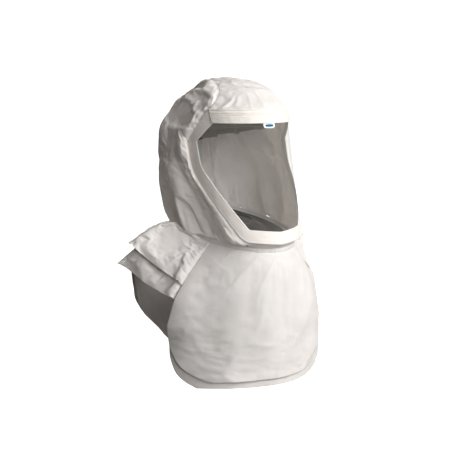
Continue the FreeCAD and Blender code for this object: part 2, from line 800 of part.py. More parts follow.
def nape_pad():
    """The soft pad on the inside of the ratchet case."""
    pad = ring_sector(78.4, HOUSING_IN - 0.1, -15, 15, -HOUSING_DEG - 3, HOUSING_DEG + 3, CENTRE)
    return pad


def crown_strap_cross():
    """The strap over the head from side to side."""
    t = 1.2
    ring = Part.Face(cross_ellipse(92.4 + t, 80.6 + t)).extrude(V(0, 22, 0))
    ring = ring.cut(Part.Face(cross_ellipse(92.4, 80.6)).extrude(V(0, 22, 0)))
    ring.translate(V(0, 1, 0))
    ring = ring.common(box_between((-200, -200, -9), (200, 200, 200)))
    return ring.cut(Part.makeCylinder(2.05, 240, V(-120, 8, 0), V(1, 0, 0)))


def cross_ellipse(a, c):
    """An ellipse in the XZ plane, a along X and c along Z."""
    big, small = (a, c) if a > c else (c, a)
    curve = Part.Ellipse(V(big, 0, 0), V(0, 0, small), V(0, 0, 0))
    return Part.Wire([curve.toShape()])


def strap_studs():
    """The two studs that hold the cross strap to the band's sides."""
    studs = []
    for side in (-1, 1):
        y = 8.0
        stem = Part.makeCylinder(2.0, 6.3, V(side * 88.7, y, 0), V(side, 0, 0))
        head = Part.makeCylinder(4.5, 1.4, V(side * 94.9, y, 0), V(side, 0, 0))
        studs.append(stem.fuse(head).removeSplitter())
    return Part.makeCompound(studs)


def crown_strap_long():
    """The strap over the head from the forehead to the nape, with its row of size holes."""
    t, half = 1.2, 11.0
    lower = [
        (-98, 12.1), (-93, 34), (-72, 55), (-36, 70.5), (8, 78.5), (56, 69), (86, 44), (97.4, 13.1),
    ]
    upper = [(y * 1.0 + (y / 110) * t, z + t * (0.35 + 0.65 * (1 - (y / 110) ** 2))) for y, z in lower]
    face = sheet_profile(lower, upper)
    strap = face.extrude(V(2 * half, 0, 0))
    strap.translate(V(-half, 0, 0))
    for k in range(5):
        strap = strap.cut(Part.makeCylinder(1.6, 60, V(0, -30 + 12 * k, 50), V(0, 0, 1)))
    return strap


def sheet_profile(lower, upper):
    """A face in the YZ plane between two smooth curves with the same ends joined by lines."""
    a, b = Part.BSplineCurve(), Part.BSplineCurve()
    a.interpolate([V(0, y, z) for y, z in lower])
    b.interpolate([V(0, y, z) for y, z in upper])
    ends = [
        Part.LineSegment(V(0, *upper[-1]), V(0, *lower[-1])).toShape(),
        Part.LineSegment(V(0, *lower[0]), V(0, *upper[0])).toShape(),
    ]
    return Part.Face(Part.Wire([a.toShape(), ends[0], b.toShape(), ends[1]]))


ARM_LENGTH_ON_VISOR, ARM_Z = 78.0, (8.0, 20.0)


def visor_arm(side):
    """The flat arm that holds the brow off the forehead."""
    root = V(side * 62, -72.5, 0)
    tip = on_visor(side * ARM_LENGTH_ON_VISOR, 8, -4.2)
    tip = V(tip.x, tip.y, 0)
    across = (tip - root).normalize()
    n = V(-across.y, across.x, 0) * 0.9
    outline = [root + n, tip + n, tip - n, root - n]
    face = Part.Face(Part.makePolygon([V(p.x, p.y, ARM_Z[0]) for p in outline + outline[:1]]))
    return face.extrude(V(0, 0, ARM_Z[1] - ARM_Z[0]))


def brow_snaps(lens):
    """The snap fasteners between the arms' tips and the visor."""
    snaps = []
    for side in (-1, 1):
        seat = on_visor(side * ARM_LENGTH_ON_VISOR, 14, -1.3)
        back = V(-side * 0.64, 0.77, 0)
        snaps.append(Part.makeCylinder(5.0, 0.9, seat, back))
    return Part.makeCompound([trimmed(snap, [lens]) for snap in snaps])


# ---- the air inlet and duct ---------------------------------------------------------------
def inlet_port():
    """The hose socket: a flanged tube through the back of the hood."""
    y0, y1 = INLET_FACE_Y, INLET_FACE_Y + INLET_LENGTH
    flange = tube_y(INLET_BORE_R, 31, y0, y0 + 2.6, INLET_Z)
    tube = tube_y(INLET_BORE_R, INLET_TUBE_R, y0, y1, INLET_Z)
    lip = tube_y(INLET_BORE_R, INLET_TUBE_R + 1.4, y1 - 2.2, y1, INLET_Z)
    neck = tube_y(INLET_BORE_R, INLET_TUBE_R, y0 - 14, y0 + 0.5, INLET_Z)
    return flange.fuse([tube, lip, neck]).removeSplitter()


def inlet_gasket():
    return tube_y(INLET_TUBE_R + 0.1, 30, INLET_FACE_Y - 1.6, INLET_FACE_Y - 0.05, INLET_Z)


def inlet_nut():
    """The ring nut inside the hood, with four notches for a spanner."""
    nut = tube_y(INLET_TUBE_R + 0.1, 29, INLET_FACE_Y - 7.2, INLET_FACE_Y - 4.0, INLET_Z)
    for k in range(4):
        a = math.pi / 4 + k * math.pi / 2
        x, z = 29.5 * math.sin(a), INLET_Z + 29.5 * math.cos(a)
        nut = nut.cut(Part.makeCylinder(3.2, 12, V(x, INLET_FACE_Y - 12, z), V(0, 1, 0)))
    return nut


def swivel_collar():
    """The coupling ring that turns on the port, with ribs for the fingers."""
    y0, y1 = INLET_FACE_Y + 5.0, INLET_FACE_Y + 22.0
    collar = tube_y(INLET_TUBE_R + 0.08, 25.5, y0, y1, INLET_Z)
    ribs = 20
    for k in range(ribs):
        a = 2 * math.pi * (k + 0.5) / ribs
        x, z = 26.4 * math.sin(a), INLET_Z + 26.4 * math.cos(a)
        collar = collar.cut(Part.makeCylinder(1.7, 10, V(x, y0 - 1, z), V(0, 1, 0)))
    pocket = box_between(
        (-5.2, y0 + 10.8, INLET_Z + 20.6), (5.2, y0 + 15.2, INLET_Z + 30)
    )
    return collar.cut(pocket)


def collar_clip():
    """The split ring that keeps the collar on the port."""
    y0 = INLET_FACE_Y + 22.4
    clip = tube_y(INLET_TUBE_R + 0.05, 22.4, y0, y0 + 1.4, INLET_Z)
    return clip.cut(box_between((-3, y0 - 1, INLET_Z - 30), (3, y0 + 3, INLET_Z)))


def release_button():
    """The coupling's release, pressed inwards against its spring."""
    y0 = INLET_FACE_Y + 5.0
    foot = box_between((-5.0, y0 + 11.0, INLET_Z + 24.2), (5.0, y0 + 15.0, INLET_Z + 28.2))
    return foot.makeFillet(1.0, [e for e in foot.Edges if e.BoundBox.ZMin > INLET_Z + 28.1])


def button_spring():
    """The wave spring under the button, as one low coil."""
    y = INLET_FACE_Y + 18.0
    helix = Part.makeHelix(1.05, 3.15, 1.5)
    helix.translate(V(0, y, INLET_Z + 20.85))
    start = helix.Edges[0].valueAt(helix.Edges[0].FirstParameter)
    circle = Part.Wire([Part.makeCircle(0.22, start, V(0, 1, 0))])
    return Part.Wire(helix.Edges).makePipeShell([circle], True, False)


def inlet_oring():
    """The seal inside the mouth of the port."""
    return Part.makeTorus(INLET_TUBE_R + 0.55, 0.5, V(0, INLET_FACE_Y + 3.6, INLET_Z), V(0, 1, 0))


DUCT_LOWER = [
    (139.2, -90), (139.2, -64), (138.4, -38), (126.5, 4), (102, 38), (65, 67),
    (20, 82.5), (-32, 80.5), (-79, 62.5), (-108, 44),
]
DUCT_UPPER = [
    (148.9, -90), (148.9, -64), (148.0, -38), (135, 7), (108.5, 44), (68, 75.5),
    (20, 93), (-35, 91), (-84, 71), (-113, 52),
]


def air_duct():
    """The flat channel from the plenum up the back of the head and over the crown."""
    body = sheet_profile(DUCT_LOWER, DUCT_UPPER).extrude(V(2 * DUCT_HALF, 0, 0))
    body.translate(V(-DUCT_HALF, 0, 0))
    lower = [(mix(a[0], b[0], 0.13), mix(a[1], b[1], 0.13)) for a, b in zip(DUCT_LOWER, DUCT_UPPER)]
    upper = [(mix(b[0], a[0], 0.13), mix(b[1], a[1], 0.13)) for a, b in zip(DUCT_LOWER, DUCT_UPPER)]
    hollow = sheet_profile(lower + [(-114.0, 40.0)], upper + [(-119.0, 47.5)])
    hollow = hollow.extrude(V(2 * (DUCT_HALF - DUCT_WALL), 0, 0))
    hollow.translate(V(-(DUCT_HALF - DUCT_WALL), 0, 0))
    foot = box_between((-28.8, 140.9, -95), (28.8, 147.6, -84))
    body = body.cut(hollow).cut(foot)
    return body.cut(tube_y(0, INLET_TUBE_R + 0.3, 143.5, 170, INLET_Z))


def duct_foot():
    """The closed lower end of the duct."""
    return box_between((-DUCT_HALF, 139.0, -93.4), (DUCT_HALF, 149.0, -90.1))


def air_outlet():
    """The slotted mouth of the duct behind the brow band."""
    plate = box_between((-DUCT_HALF, -1.0, -6.2), (DUCT_HALF, 1.0, 6.2))
    for k in range(-3, 4):
        plate = plate.cut(box_between((k * 8 - 2.6, -3, -3.8), (k * 8 + 2.6, 3, 3.8)))
    plate.rotate(V(0, 0, 0), V(1, 0, 0), -34)
    plate.translate(V(0, -115.05, 44.3))
    return plate


# ---- everything ---------------------------------------------------------------------------
def main():
    os.makedirs(OUT, exist_ok=True)
    lens, binding = visor_lens(), border_lower()
    save("visor_lens", lens)
    save("visor_border_lower", binding)
    sides = [trimmed(side_panel(side), [binding]) for side in (-1, 1)]
    for name, side in (("right", -1), ("left", 1)):
        save("visor_border_upper_" + name, border_upper(side))
        save("side_panel_" + name, sides[(side + 1) // 2])
        save("visor_arm_" + name, visor_arm(side))
    save("brow_band", brow_band())
    save("maker_tab", maker_tab())
    save("crown_gusset", trimmed(crown_gusset(), sides))
    save("neck_gather_band", neck_band())
    save("neck_seal", neck_seal())
    save("chin_panel", chin_panel())
    save("bib_front_outer", bib_front(0))
    save("bib_front_inner", bib_front(1))
    save("bib_back_outer", bib_back(0))
    save("bib_back_inner", bib_back(1))
    harness = {
        "headband_front": front_band,
        "sweatband": sweatband,
        "rack_strap_right": lambda: rack_strap(-1, STRAP_IN_R, True),
        "rack_strap_left": lambda: rack_strap(1, STRAP_OUT_R, False),
        "ratchet_pinion": pinion,
        "ratchet_housing": ratchet_housing,
        "ratchet_cover": ratchet_cover,
        "ratchet_knob": ratchet_knob,
        "ratchet_click_spring": click_spring,
        "ratchet_knob_screw": knob_screw,
        "ratchet_case_screws": housing_screws,
        "strap_keepers": strap_keepers,
        "nape_pad": nape_pad,
        "crown_strap_cross": crown_strap_cross,
        "crown_strap_studs": strap_studs,
        "crown_strap_long": crown_strap_long,
    }
    for name, make in harness.items():
        save(name, seated(make()))
    save("brow_snaps", brow_snaps(lens))
    save("inlet_port", inlet_port())
    save("inlet_gasket", inlet_gasket())
    save("inlet_ring_nut", inlet_nut())
    save("inlet_o_ring", inlet_oring())
    save("hose_swivel_collar", swivel_collar())
    save("swivel_collar_clip", collar_clip())
    save("hose_release_button", release_button())
    save("release_button_spring", button_spring())
    duct = air_duct()
    save("air_duct", duct)
    save("air_duct_foot", duct_foot())
    save("air_outlet_grille", trimmed(air_outlet(), [duct]))


main()
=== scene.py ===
"""Looks of the respirator hood: cloth, visor, seams, harness finishes, studio and camera."""

import json
import math

import bpy
import numpy as np
from mathutils import Vector
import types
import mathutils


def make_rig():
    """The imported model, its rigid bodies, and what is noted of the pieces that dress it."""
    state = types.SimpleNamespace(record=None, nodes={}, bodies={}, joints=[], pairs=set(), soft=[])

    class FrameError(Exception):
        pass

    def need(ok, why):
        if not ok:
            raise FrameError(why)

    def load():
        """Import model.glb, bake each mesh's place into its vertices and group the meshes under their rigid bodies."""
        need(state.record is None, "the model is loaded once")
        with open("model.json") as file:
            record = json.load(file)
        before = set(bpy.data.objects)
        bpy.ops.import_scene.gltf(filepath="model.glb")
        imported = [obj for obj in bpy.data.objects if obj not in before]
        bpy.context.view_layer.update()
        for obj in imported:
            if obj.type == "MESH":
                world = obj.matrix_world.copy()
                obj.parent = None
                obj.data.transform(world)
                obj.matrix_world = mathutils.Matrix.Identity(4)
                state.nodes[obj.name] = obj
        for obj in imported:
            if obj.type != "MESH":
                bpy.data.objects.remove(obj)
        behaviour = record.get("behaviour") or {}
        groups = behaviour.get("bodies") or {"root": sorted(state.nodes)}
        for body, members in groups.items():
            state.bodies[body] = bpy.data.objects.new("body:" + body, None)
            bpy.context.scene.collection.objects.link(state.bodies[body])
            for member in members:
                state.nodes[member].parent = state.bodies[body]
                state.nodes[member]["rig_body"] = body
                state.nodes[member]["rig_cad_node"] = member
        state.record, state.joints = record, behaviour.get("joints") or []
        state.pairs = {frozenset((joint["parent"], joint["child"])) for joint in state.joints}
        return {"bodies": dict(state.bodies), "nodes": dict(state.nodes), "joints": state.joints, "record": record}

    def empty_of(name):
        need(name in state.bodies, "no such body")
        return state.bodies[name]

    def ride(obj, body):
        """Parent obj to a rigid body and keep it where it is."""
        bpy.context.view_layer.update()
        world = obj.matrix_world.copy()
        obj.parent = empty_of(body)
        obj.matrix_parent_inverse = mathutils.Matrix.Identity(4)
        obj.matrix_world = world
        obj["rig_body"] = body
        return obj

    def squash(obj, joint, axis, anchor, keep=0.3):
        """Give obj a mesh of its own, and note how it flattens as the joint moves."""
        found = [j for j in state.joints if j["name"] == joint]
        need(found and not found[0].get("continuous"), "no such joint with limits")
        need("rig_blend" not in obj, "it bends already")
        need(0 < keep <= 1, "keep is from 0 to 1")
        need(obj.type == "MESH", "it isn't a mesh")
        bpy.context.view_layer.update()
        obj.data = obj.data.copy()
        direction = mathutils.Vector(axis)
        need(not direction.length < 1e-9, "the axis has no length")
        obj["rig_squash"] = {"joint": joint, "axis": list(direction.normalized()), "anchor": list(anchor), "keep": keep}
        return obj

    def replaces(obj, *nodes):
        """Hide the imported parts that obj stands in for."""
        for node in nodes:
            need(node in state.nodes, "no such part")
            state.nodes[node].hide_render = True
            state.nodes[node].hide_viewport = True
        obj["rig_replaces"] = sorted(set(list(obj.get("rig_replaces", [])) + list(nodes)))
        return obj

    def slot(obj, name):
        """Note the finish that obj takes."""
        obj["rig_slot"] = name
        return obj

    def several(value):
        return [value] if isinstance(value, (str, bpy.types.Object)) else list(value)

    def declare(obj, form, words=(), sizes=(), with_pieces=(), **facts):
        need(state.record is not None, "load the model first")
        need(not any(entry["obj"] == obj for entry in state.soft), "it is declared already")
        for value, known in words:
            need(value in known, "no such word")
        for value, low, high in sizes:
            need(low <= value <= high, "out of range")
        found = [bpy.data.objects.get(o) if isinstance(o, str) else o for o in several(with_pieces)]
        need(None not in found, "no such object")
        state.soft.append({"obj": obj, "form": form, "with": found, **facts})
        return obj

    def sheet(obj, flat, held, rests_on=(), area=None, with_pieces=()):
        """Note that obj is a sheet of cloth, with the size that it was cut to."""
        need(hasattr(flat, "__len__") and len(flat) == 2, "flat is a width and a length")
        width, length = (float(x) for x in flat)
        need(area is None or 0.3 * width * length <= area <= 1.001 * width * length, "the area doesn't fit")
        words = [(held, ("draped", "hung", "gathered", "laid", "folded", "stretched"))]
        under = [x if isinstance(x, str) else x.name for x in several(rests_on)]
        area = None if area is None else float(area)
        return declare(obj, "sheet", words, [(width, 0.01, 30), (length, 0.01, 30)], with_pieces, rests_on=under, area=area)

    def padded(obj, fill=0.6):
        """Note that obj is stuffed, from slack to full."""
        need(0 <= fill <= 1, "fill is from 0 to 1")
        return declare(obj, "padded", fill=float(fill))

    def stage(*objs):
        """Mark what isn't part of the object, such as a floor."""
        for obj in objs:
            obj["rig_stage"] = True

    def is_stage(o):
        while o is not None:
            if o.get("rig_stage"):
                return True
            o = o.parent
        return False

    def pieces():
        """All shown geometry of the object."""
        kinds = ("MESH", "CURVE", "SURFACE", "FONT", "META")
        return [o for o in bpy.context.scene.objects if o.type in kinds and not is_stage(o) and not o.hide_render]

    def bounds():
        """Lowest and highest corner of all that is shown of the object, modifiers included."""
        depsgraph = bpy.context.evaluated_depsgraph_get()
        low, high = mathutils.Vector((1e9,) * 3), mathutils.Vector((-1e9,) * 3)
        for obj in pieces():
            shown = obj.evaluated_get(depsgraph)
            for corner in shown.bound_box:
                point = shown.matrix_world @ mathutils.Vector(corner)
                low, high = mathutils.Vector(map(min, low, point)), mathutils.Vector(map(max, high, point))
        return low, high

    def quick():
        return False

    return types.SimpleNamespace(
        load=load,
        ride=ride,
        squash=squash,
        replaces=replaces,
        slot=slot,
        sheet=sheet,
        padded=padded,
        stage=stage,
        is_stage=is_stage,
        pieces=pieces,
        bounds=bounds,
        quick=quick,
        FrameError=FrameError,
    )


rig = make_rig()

MM = 0.001

# ---- the studio, in metres; each lamp's name, place, width and power in watts ----------------
LAMPS = [
    ("key", (1.15, -2.70, 1.50), 2.0, 116),
    ("front", (-0.6, -3.0, 0.5), 1.6, 36),
]
LAMP_AIM = (0.0, 0.0, -0.25)
FLOOR_Z, WALL_TOP, ROOF_TOP, ROOM_RADIUS, ROOM_SIDES = -0.75, 5.0, 6.5, 9.0, 48
CAMERA_PLACE, CAMERA_TARGET = (-1.2701, -1.8064, 0.0953), (-0.0205, -0.0218, -0.2109)
CAMERA_LENS, CAMERA_SENSOR = 82.6, 36.0

# ---- the hood's shape, in millimetres, the same as in the solids ----------------------------
VISOR_A, VISOR_B, VISOR_LEAN = 120.0, 148.0, 0.19
BORDER_WIDTH = 26.0
BROW_TOP, BROW_FOOT, BROW_HALF = 37.0, 9.0, 125.0
WIDE_CORNER, SIDE_CORNER = (187.0, -30.0), (181.0, -90.0)
FOOT_CORNER, FOOT_MIDDLE = (80.0, -226.0), (0.0, -233.0)
HOOD_A, HOOD_FRONT, HOOD_BACK = 134.0, 149.0, 156.0
CROWN_Z, CROWN_POWER = 100.0, 1.8
GIRTH_FRONT_Z, GIRTH_BACK_Z, NECK_TAPER = 0.0, -35.0, 0.90
GUSSET_HALF = 46.0
NECK_A, NECK_B, NECK_Y, NECK_Z, NECK_TILT = 112.0, 153.0, -27.0, -213.0, 30.0
BACK_SEAM, CHIN_SEAM = 158.0, 33.0
CHEST_A, CHEST_FRONT, CHEST_BACK = 210.0, 200.0, 158.0
RIM_FRONT_Z, RIM_BACK_Z, LAYER_GAP = -400.0, -300.0, 4.0
BIB_SIDE, SHOULDER_SEAM, BACK_BIB_SIDE = 66.0, 96.0, 114.0
SHOULDER_TIP = [(230.0, 25.0, -237.0), (243.0, 50.0, -282.0)]
INLET_Z, INLET_FACE_Y = -62.0, 156.5

# ---- in the looks only, in millimetres -------------------------------------------------------
FLAP_BELLY, FAR_HEM_RISE, NEAR_FLAP_LIFT, FAR_FLAP_LIFT = 10.0, 13.0, 27.0, 7.0
CLOTH_THICK = 0.6
HOOD_CENTRE, CAPE_CENTRE, FLAP_CENTRE = (0, 0, -60), (0, 0, -380), (0, 0, -420)
COIL_FOOT, COIL_KEEP = -41.37, 0.38  # the fixed end, and the share of the length that is left


def smooth(x):
    x = np.clip(x, 0.0, 1.0)
    return x * x * (3 - 2 * x)


def mix(a, b, t):
    return a + (b - a) * t


def vec(x, y, z):
    return np.stack(np.broadcast_arrays(x, y, z), axis=-1).astype(float)


THETAS = np.linspace(0, 2.2, 2000)
SPEEDS = np.hypot(VISOR_A * np.cos(THETAS), VISOR_B * np.sin(THETAS))
ARCS = np.concatenate([[0], np.cumsum((SPEEDS[1:] + SPEEDS[:-1]) / 2 * THETAS[1])])


def on_visor(length, z, out=0.0):
    """The point at an arc length from the middle and a height, out from the visor's film."""
    length, z = np.asarray(length, float), np.asarray(z, float)
    t = np.sign(length) * np.interp(np.abs(length), ARCS, THETAS)
    y = -(VISOR_B + out) * np.cos(t) + VISOR_LEAN * z
    return vec((VISOR_A + out) * np.sin(t), y, z)


def rounded_path(corners, radii, steps=10):
    """A path through corners, with each inner corner turned on an arc of its radius."""
    points = [np.array(corners[0], float)]
    for before, at, after, r in zip(corners, corners[1:], corners[2:], radii):
        before, at, after = (np.array(p, float) for p in (before, at, after))
        a = (before - at) / np.linalg.norm(before - at)
        b = (after - at) / np.linalg.norm(after - at)
        half = math.acos(np.clip(a @ b, -1, 1)) / 2
        start, end = at + a * r / math.tan(half), at + b * r / math.tan(half)
        centre = at + (a + b) / np.linalg.norm(a + b) * r / math.sin(half)
        for i in range(steps + 1):
            ray = mix(start - centre, end - centre, i / steps)
            points.append(centre + ray / np.linalg.norm(ray) * r)
    points.append(np.array(corners[-1], float))
    return np.array(points)


def along(path, t):
    """Points at shares t of a path's length."""
    runs = np.concatenate([[0], np.cumsum(np.linalg.norm(np.diff(path, axis=0), axis=1))])
    want = np.asarray(t, float) * runs[-1]
    return np.stack([np.interp(want, runs, path[:, k]) for k in range(path.shape[1])], axis=-1)


def inset(path, distance):
    """A flat path moved sideways, towards the inside of the visor."""
    d = np.gradient(path, axis=0)
    d /= np.linalg.norm(d, axis=1, keepdims=True)
    return path + np.stack([d[:, 1], -d[:, 0]], axis=1) * distance


def lower_outline(count):
    """The visor's lower outline on its left half, from the wide corner to the middle."""
    corners = [WIDE_CORNER, SIDE_CORNER, FOOT_CORNER, FOOT_MIDDLE]
    return along(rounded_path(corners, [70.0, 32.0]), np.linspace(0, 1, count))


def girth_share(angle, z):
    """The hood's girth at a height, as a share of its widest."""
    back = (1 - np.cos(angle)) / 2
    widest = mix(GIRTH_FRONT_Z, GIRTH_BACK_Z, back)
    rise = np.clip((z - widest) / (CROWN_Z - widest), 0, 1)
    above = np.sqrt(np.maximum(1e-6, 1 - rise**CROWN_POWER))
    below = mix(1.0, NECK_TAPER, smooth((widest - z) / 200))
    return np.where(z > widest, above, below)


def outside(p):
    """How far out points lie: 1 on the hood's surface, and more outside it."""
    x, y, z = p[..., 0], p[..., 1], p[..., 2]
    depth = np.where(y < 0, HOOD_FRONT, HOOD_BACK)
    angle = np.arctan2(x / HOOD_A, -y / depth)
    lean = VISOR_LEAN * np.minimum(0.0, z) * np.maximum(0.0, np.cos(angle))
    share = np.hypot(x / HOOD_A, (y - lean) / depth) / girth_share(angle, z)
    return np.where(z >= CROWN_Z, 2.0, share)


def onto_hood(p):
    """Moves points along their ray from the origin onto the hood's surface."""
    low, high = np.full(p.shape[:-1], 0.05), np.full(p.shape[:-1], 4.0)
    for _ in range(34):
        middle = (low + high) / 2
        out = outside(p * middle[..., None]) > 1
        high = np.where(out, middle, high)
        low = np.where(out, low, middle)
    return p * low[..., None]


def neck_point(degrees, out=0.0, rise=0.0):
    """A point of the tilted neck oval, at an angle from the front."""
    a = np.radians(degrees)
    return vec(
        (NECK_A + out) * np.sin(a),
        NECK_Y - (NECK_B + out) * np.cos(a),
        NECK_Z - NECK_TILT * np.cos(a) + rise,
    )


def seam_point(s, side):
    """The seam between crown and side panel, from the brow (0) to the neck (1)."""
    s = np.asarray(s, float)
    start = on_visor(side * BROW_HALF, BROW_TOP, 2.0)
    end = neck_point(side * BACK_SEAM, 1.0, 2.0)
    first = math.atan2(start[2], -start[1])
    last = math.pi + math.atan2(-end[2], end[1])
    a = mix(first, last, s)
    half = mix(abs(start[0]), GUSSET_HALF, smooth(s / 0.42))
    raw = onto_hood(vec(side * half, -140 * np.cos(a), 140 * np.sin(a)))
    raw = start + (raw - start) * smooth(s / 0.12)[..., None]
    return raw + (end - raw) * smooth((s - 0.86) / 0.14)[..., None]


def coons(left, right, top, foot, u, v):
    """A blended patch on grids u and v, from its four edges as functions."""
    one = np.array(0.0), np.array(1.0)
    u1, v1 = u[..., None], v[..., None]
    ruled = left(v) * (1 - u1) + right(v) * u1 + top(u) * (1 - v1) + foot(u) * v1
    corner = (left(one[0]) * (1 - u1) + right(one[0]) * u1) * (1 - v1)
    corner = corner + (left(one[1]) * (1 - u1) + right(one[1]) * u1) * v1
    return ruled - corner


# ---- noise for folds ------------------------------------------------------------------------
def noise(x, y, seed):
    """Smooth value noise from -1 to 1, with a grain of 1."""
    table = np.random.default_rng(seed).uniform(-1, 1, (64, 64))
    xi, yi = np.floor(x).astype(int), np.floor(y).astype(int)
    fx, fy = smooth(x - xi), smooth(y - yi)

    def at(i, j):
        return table[(xi + i) % 64, (yi + j) % 64]

    return mix(mix(at(0, 0), at(1, 0), fx), mix(at(0, 1), at(1, 1), fx), fy)


def layered(x, y, seed, octaves=3):
    return sum(noise(x * 2**k, y * 2**k, seed + k) / 2**k for k in range(octaves))


def crease(x, y, seed):
    """Soft ridges with sharp tops, from 0 to 1."""
    return 1 - np.abs(noise(x, y, seed)) ** 0.7


# ---- meshes ---------------------------------------------------------------------------------
def grid_mesh(name, points, closed_u=False):
    """A quad mesh over a (rows, cols, 3) grid of points in millimetres."""
    rows, cols = points.shape[:2]
    index = np.arange(rows * cols).reshape(rows, cols)
    if closed_u:
        index = np.vstack([index, index[:1]])
    quads = np.stack(
        [index[:-1, :-1], index[1:, :-1], index[1:, 1:], index[:-1, 1:]], axis=-1
    ).reshape(-1, 4)
    mesh = bpy.data.meshes.new(name)
    mesh.from_pydata((points.reshape(-1, 3) * MM).tolist(), [], quads.tolist())
    mesh.shade_smooth()
    made = bpy.data.objects.new(name, mesh)
    bpy.context.collection.objects.link(made)
    return made


def apply_modifiers(obj):
    bpy.context.view_layer.objects.active = obj
    bpy.ops.object.select_all(action="DESELECT")
    obj.select_set(True)
    for modifier in list(obj.modifiers):
        bpy.ops.object.modifier_apply(modifier=modifier.name)


def thicken(obj, millimetres, offset=0.0):
    """Gives a sheet its thickness; an offset of -1 puts all of it inside."""
    made = obj.modifiers.new("thickness", "SOLIDIFY")
    made.thickness = millimetres * MM
    made.offset = offset
    made.use_even_offset = False
    return obj


def blurred(values, reach):
    """A grid of values averaged over a few cells each way, with its edges repeated."""
    out = values
    for _ in range(2):
        for axis in (0, 1):
            pad = [(reach, reach) if k == axis else (0, 0) for k in range(out.ndim)]
            wide = np.cumsum(np.pad(out, pad, mode="edge"), axis=axis)
            size = out.shape[axis]
            high = np.take(wide, np.arange(2 * reach, 2 * reach + size), axis=axis)
            low = np.take(wide, np.arange(-1, size - 1), axis=axis)
            others = tuple(k for k in range(out.ndim) if k != axis)
            first = np.expand_dims(np.arange(size) == 0, others)
            low = np.where(first, 0.0, low)
            out = (high - low) / (2 * reach + 1)
    return out


def grid_points(obj, shape):
    flat = np.empty(len(obj.data.vertices) * 3)
    obj.data.vertices.foreach_get("co", flat)
    return flat.reshape(*shape, 3) / MM


def crumple(obj, hold, growth, frames=24, bend=0.5, gravity=0.3, reach=12, cap=11.0, gain=1.0):
    """Lets a cloth grow a little between the places that hold it, so that it buckles.

    Only the folds are kept: the slow drift of the whole piece is taken off again.
    """
    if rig.quick():
        return obj
    before = grid_points(obj, hold.shape)
    group = obj.vertex_groups.new(name="hold")
    levels = np.round(np.clip(hold.reshape(-1), 0, 1) * 40) / 40
    for level in np.unique(levels):
        group.add(np.flatnonzero(levels == level).tolist(), float(level), "REPLACE")
    cloth = obj.modifiers.new("cloth", "CLOTH")
    settings = cloth.settings
    settings.quality = 5
    settings.mass = 0.15
    settings.tension_stiffness = settings.compression_stiffness = 30
    settings.shear_stiffness = 12
    settings.bending_stiffness = bend
    settings.tension_damping = settings.compression_damping = 12
    settings.air_damping = 3
    settings.vertex_group_mass = "hold"
    settings.pin_stiffness = 0.8
    settings.shrink_min = -growth
    settings.effector_weights.gravity = gravity
    cloth.point_cache.frame_start, cloth.point_cache.frame_end = 1, frames
    cloth.collision_settings.use_collision = False
    for frame_number in range(1, frames + 1):
        bpy.context.scene.frame_set(frame_number)
    apply_modifiers(obj)
    bpy.context.scene.frame_set(1)
    moved = grid_points(obj, hold.shape) - before
    moved = (moved - 0.9 * blurred(moved, reach)) * gain * (1 - hold[..., None])
    size = np.linalg.norm(moved, axis=-1, keepdims=True) + 1e-9
    moved = moved * (cap * np.tanh(size / cap) / size)
    obj.data.vertices.foreach_set("co", ((before + moved) * MM).reshape(-1))
    obj.data.update()
    return obj


def finer(obj):
    """Splits each face once, and keeps the corners of the sheet sharp."""
    made = obj.modifiers.new("finer", "SUBSURF")
    made.levels = made.render_levels = 1
    made.boundary_smooth = "PRESERVE_CORNERS"
    return obj


def outward(obj, centre=HOOD_CENTRE):
    """Turns the faces so that they look away from a centre in millimetres."""
    mesh = obj.data
    total = 0.0
    for p in mesh.polygons:
        total += p.area * p.normal.dot(p.center - Vector(centre) * MM)
    if total < 0:
        mesh.flip_normals()
    return obj


# ---- materials ------------------------------------------------------------------------------
def new_material(name, colour, rough, **settings):
    made = bpy.data.materials.new(name)
    made.use_nodes = True
    shader = made.node_tree.nodes["Principled BSDF"]
    shader.inputs["Base Color"].default_value = (*colour[:3], 1)
    shader.inputs["Roughness"].default_value = rough
    for key, value in settings.items():
        shader.inputs[key.replace("_", " ")].default_value = value
    return made


def bumped(material, layers):
    """Adds bumps to a material from (texture kind, scale, strength, distance, settings)."""
    tree = material.node_tree
    shader = tree.nodes["Principled BSDF"]
    place = tree.nodes.new("ShaderNodeTexCoord")
    last = None
    for kind, scale, strength, distance, settings in layers:
        texture = tree.nodes.new(kind)
        texture.inputs["Scale"].default_value = scale
        for key, value in settings.items():
            texture.inputs[key].default_value = value
        tree.links.new(place.outputs["Object"], texture.inputs["Vector"])
        bump = tree.nodes.new("ShaderNodeBump")
        bump.inputs["Strength"].default_value = strength
        bump.inputs["Distance"].default_value = distance
        out = texture.outputs["Fac"] if "Fac" in texture.outputs else texture.outputs["Distance"]
        tree.links.new(out, bump.inputs["Height"])
        if last:
            tree.links.new(last.outputs["Normal"], bump.inputs["Normal"])
        last = bump
    tree.links.new(last.outputs["Normal"], shader.inputs["Normal"])
    return material


def mottled(material, light, dark, scale):
    """Varies a material's colour between two shades."""
    tree = material.node_tree
    place = tree.nodes.new("ShaderNodeTexCoord")
    texture = tree.nodes.new("ShaderNodeTexNoise")
    texture.inputs["Scale"].default_value = scale
    texture.inputs["Detail"].default_value = 6.0
    ramp = tree.nodes.new("ShaderNodeValToRGB")
    ramp.color_ramp.elements[0].position = 0.35
    ramp.color_ramp.elements[1].position = 0.68
    ramp.color_ramp.elements[0].color = (*dark, 1)
    ramp.color_ramp.elements[1].color = (*light, 1)
    tree.links.new(place.outputs["Object"], texture.inputs["Vector"])
    tree.links.new(texture.outputs["Fac"], ramp.inputs["Fac"])
    tree.links.new(ramp.outputs["Color"], tree.nodes["Principled BSDF"].inputs["Base Color"])
    return material


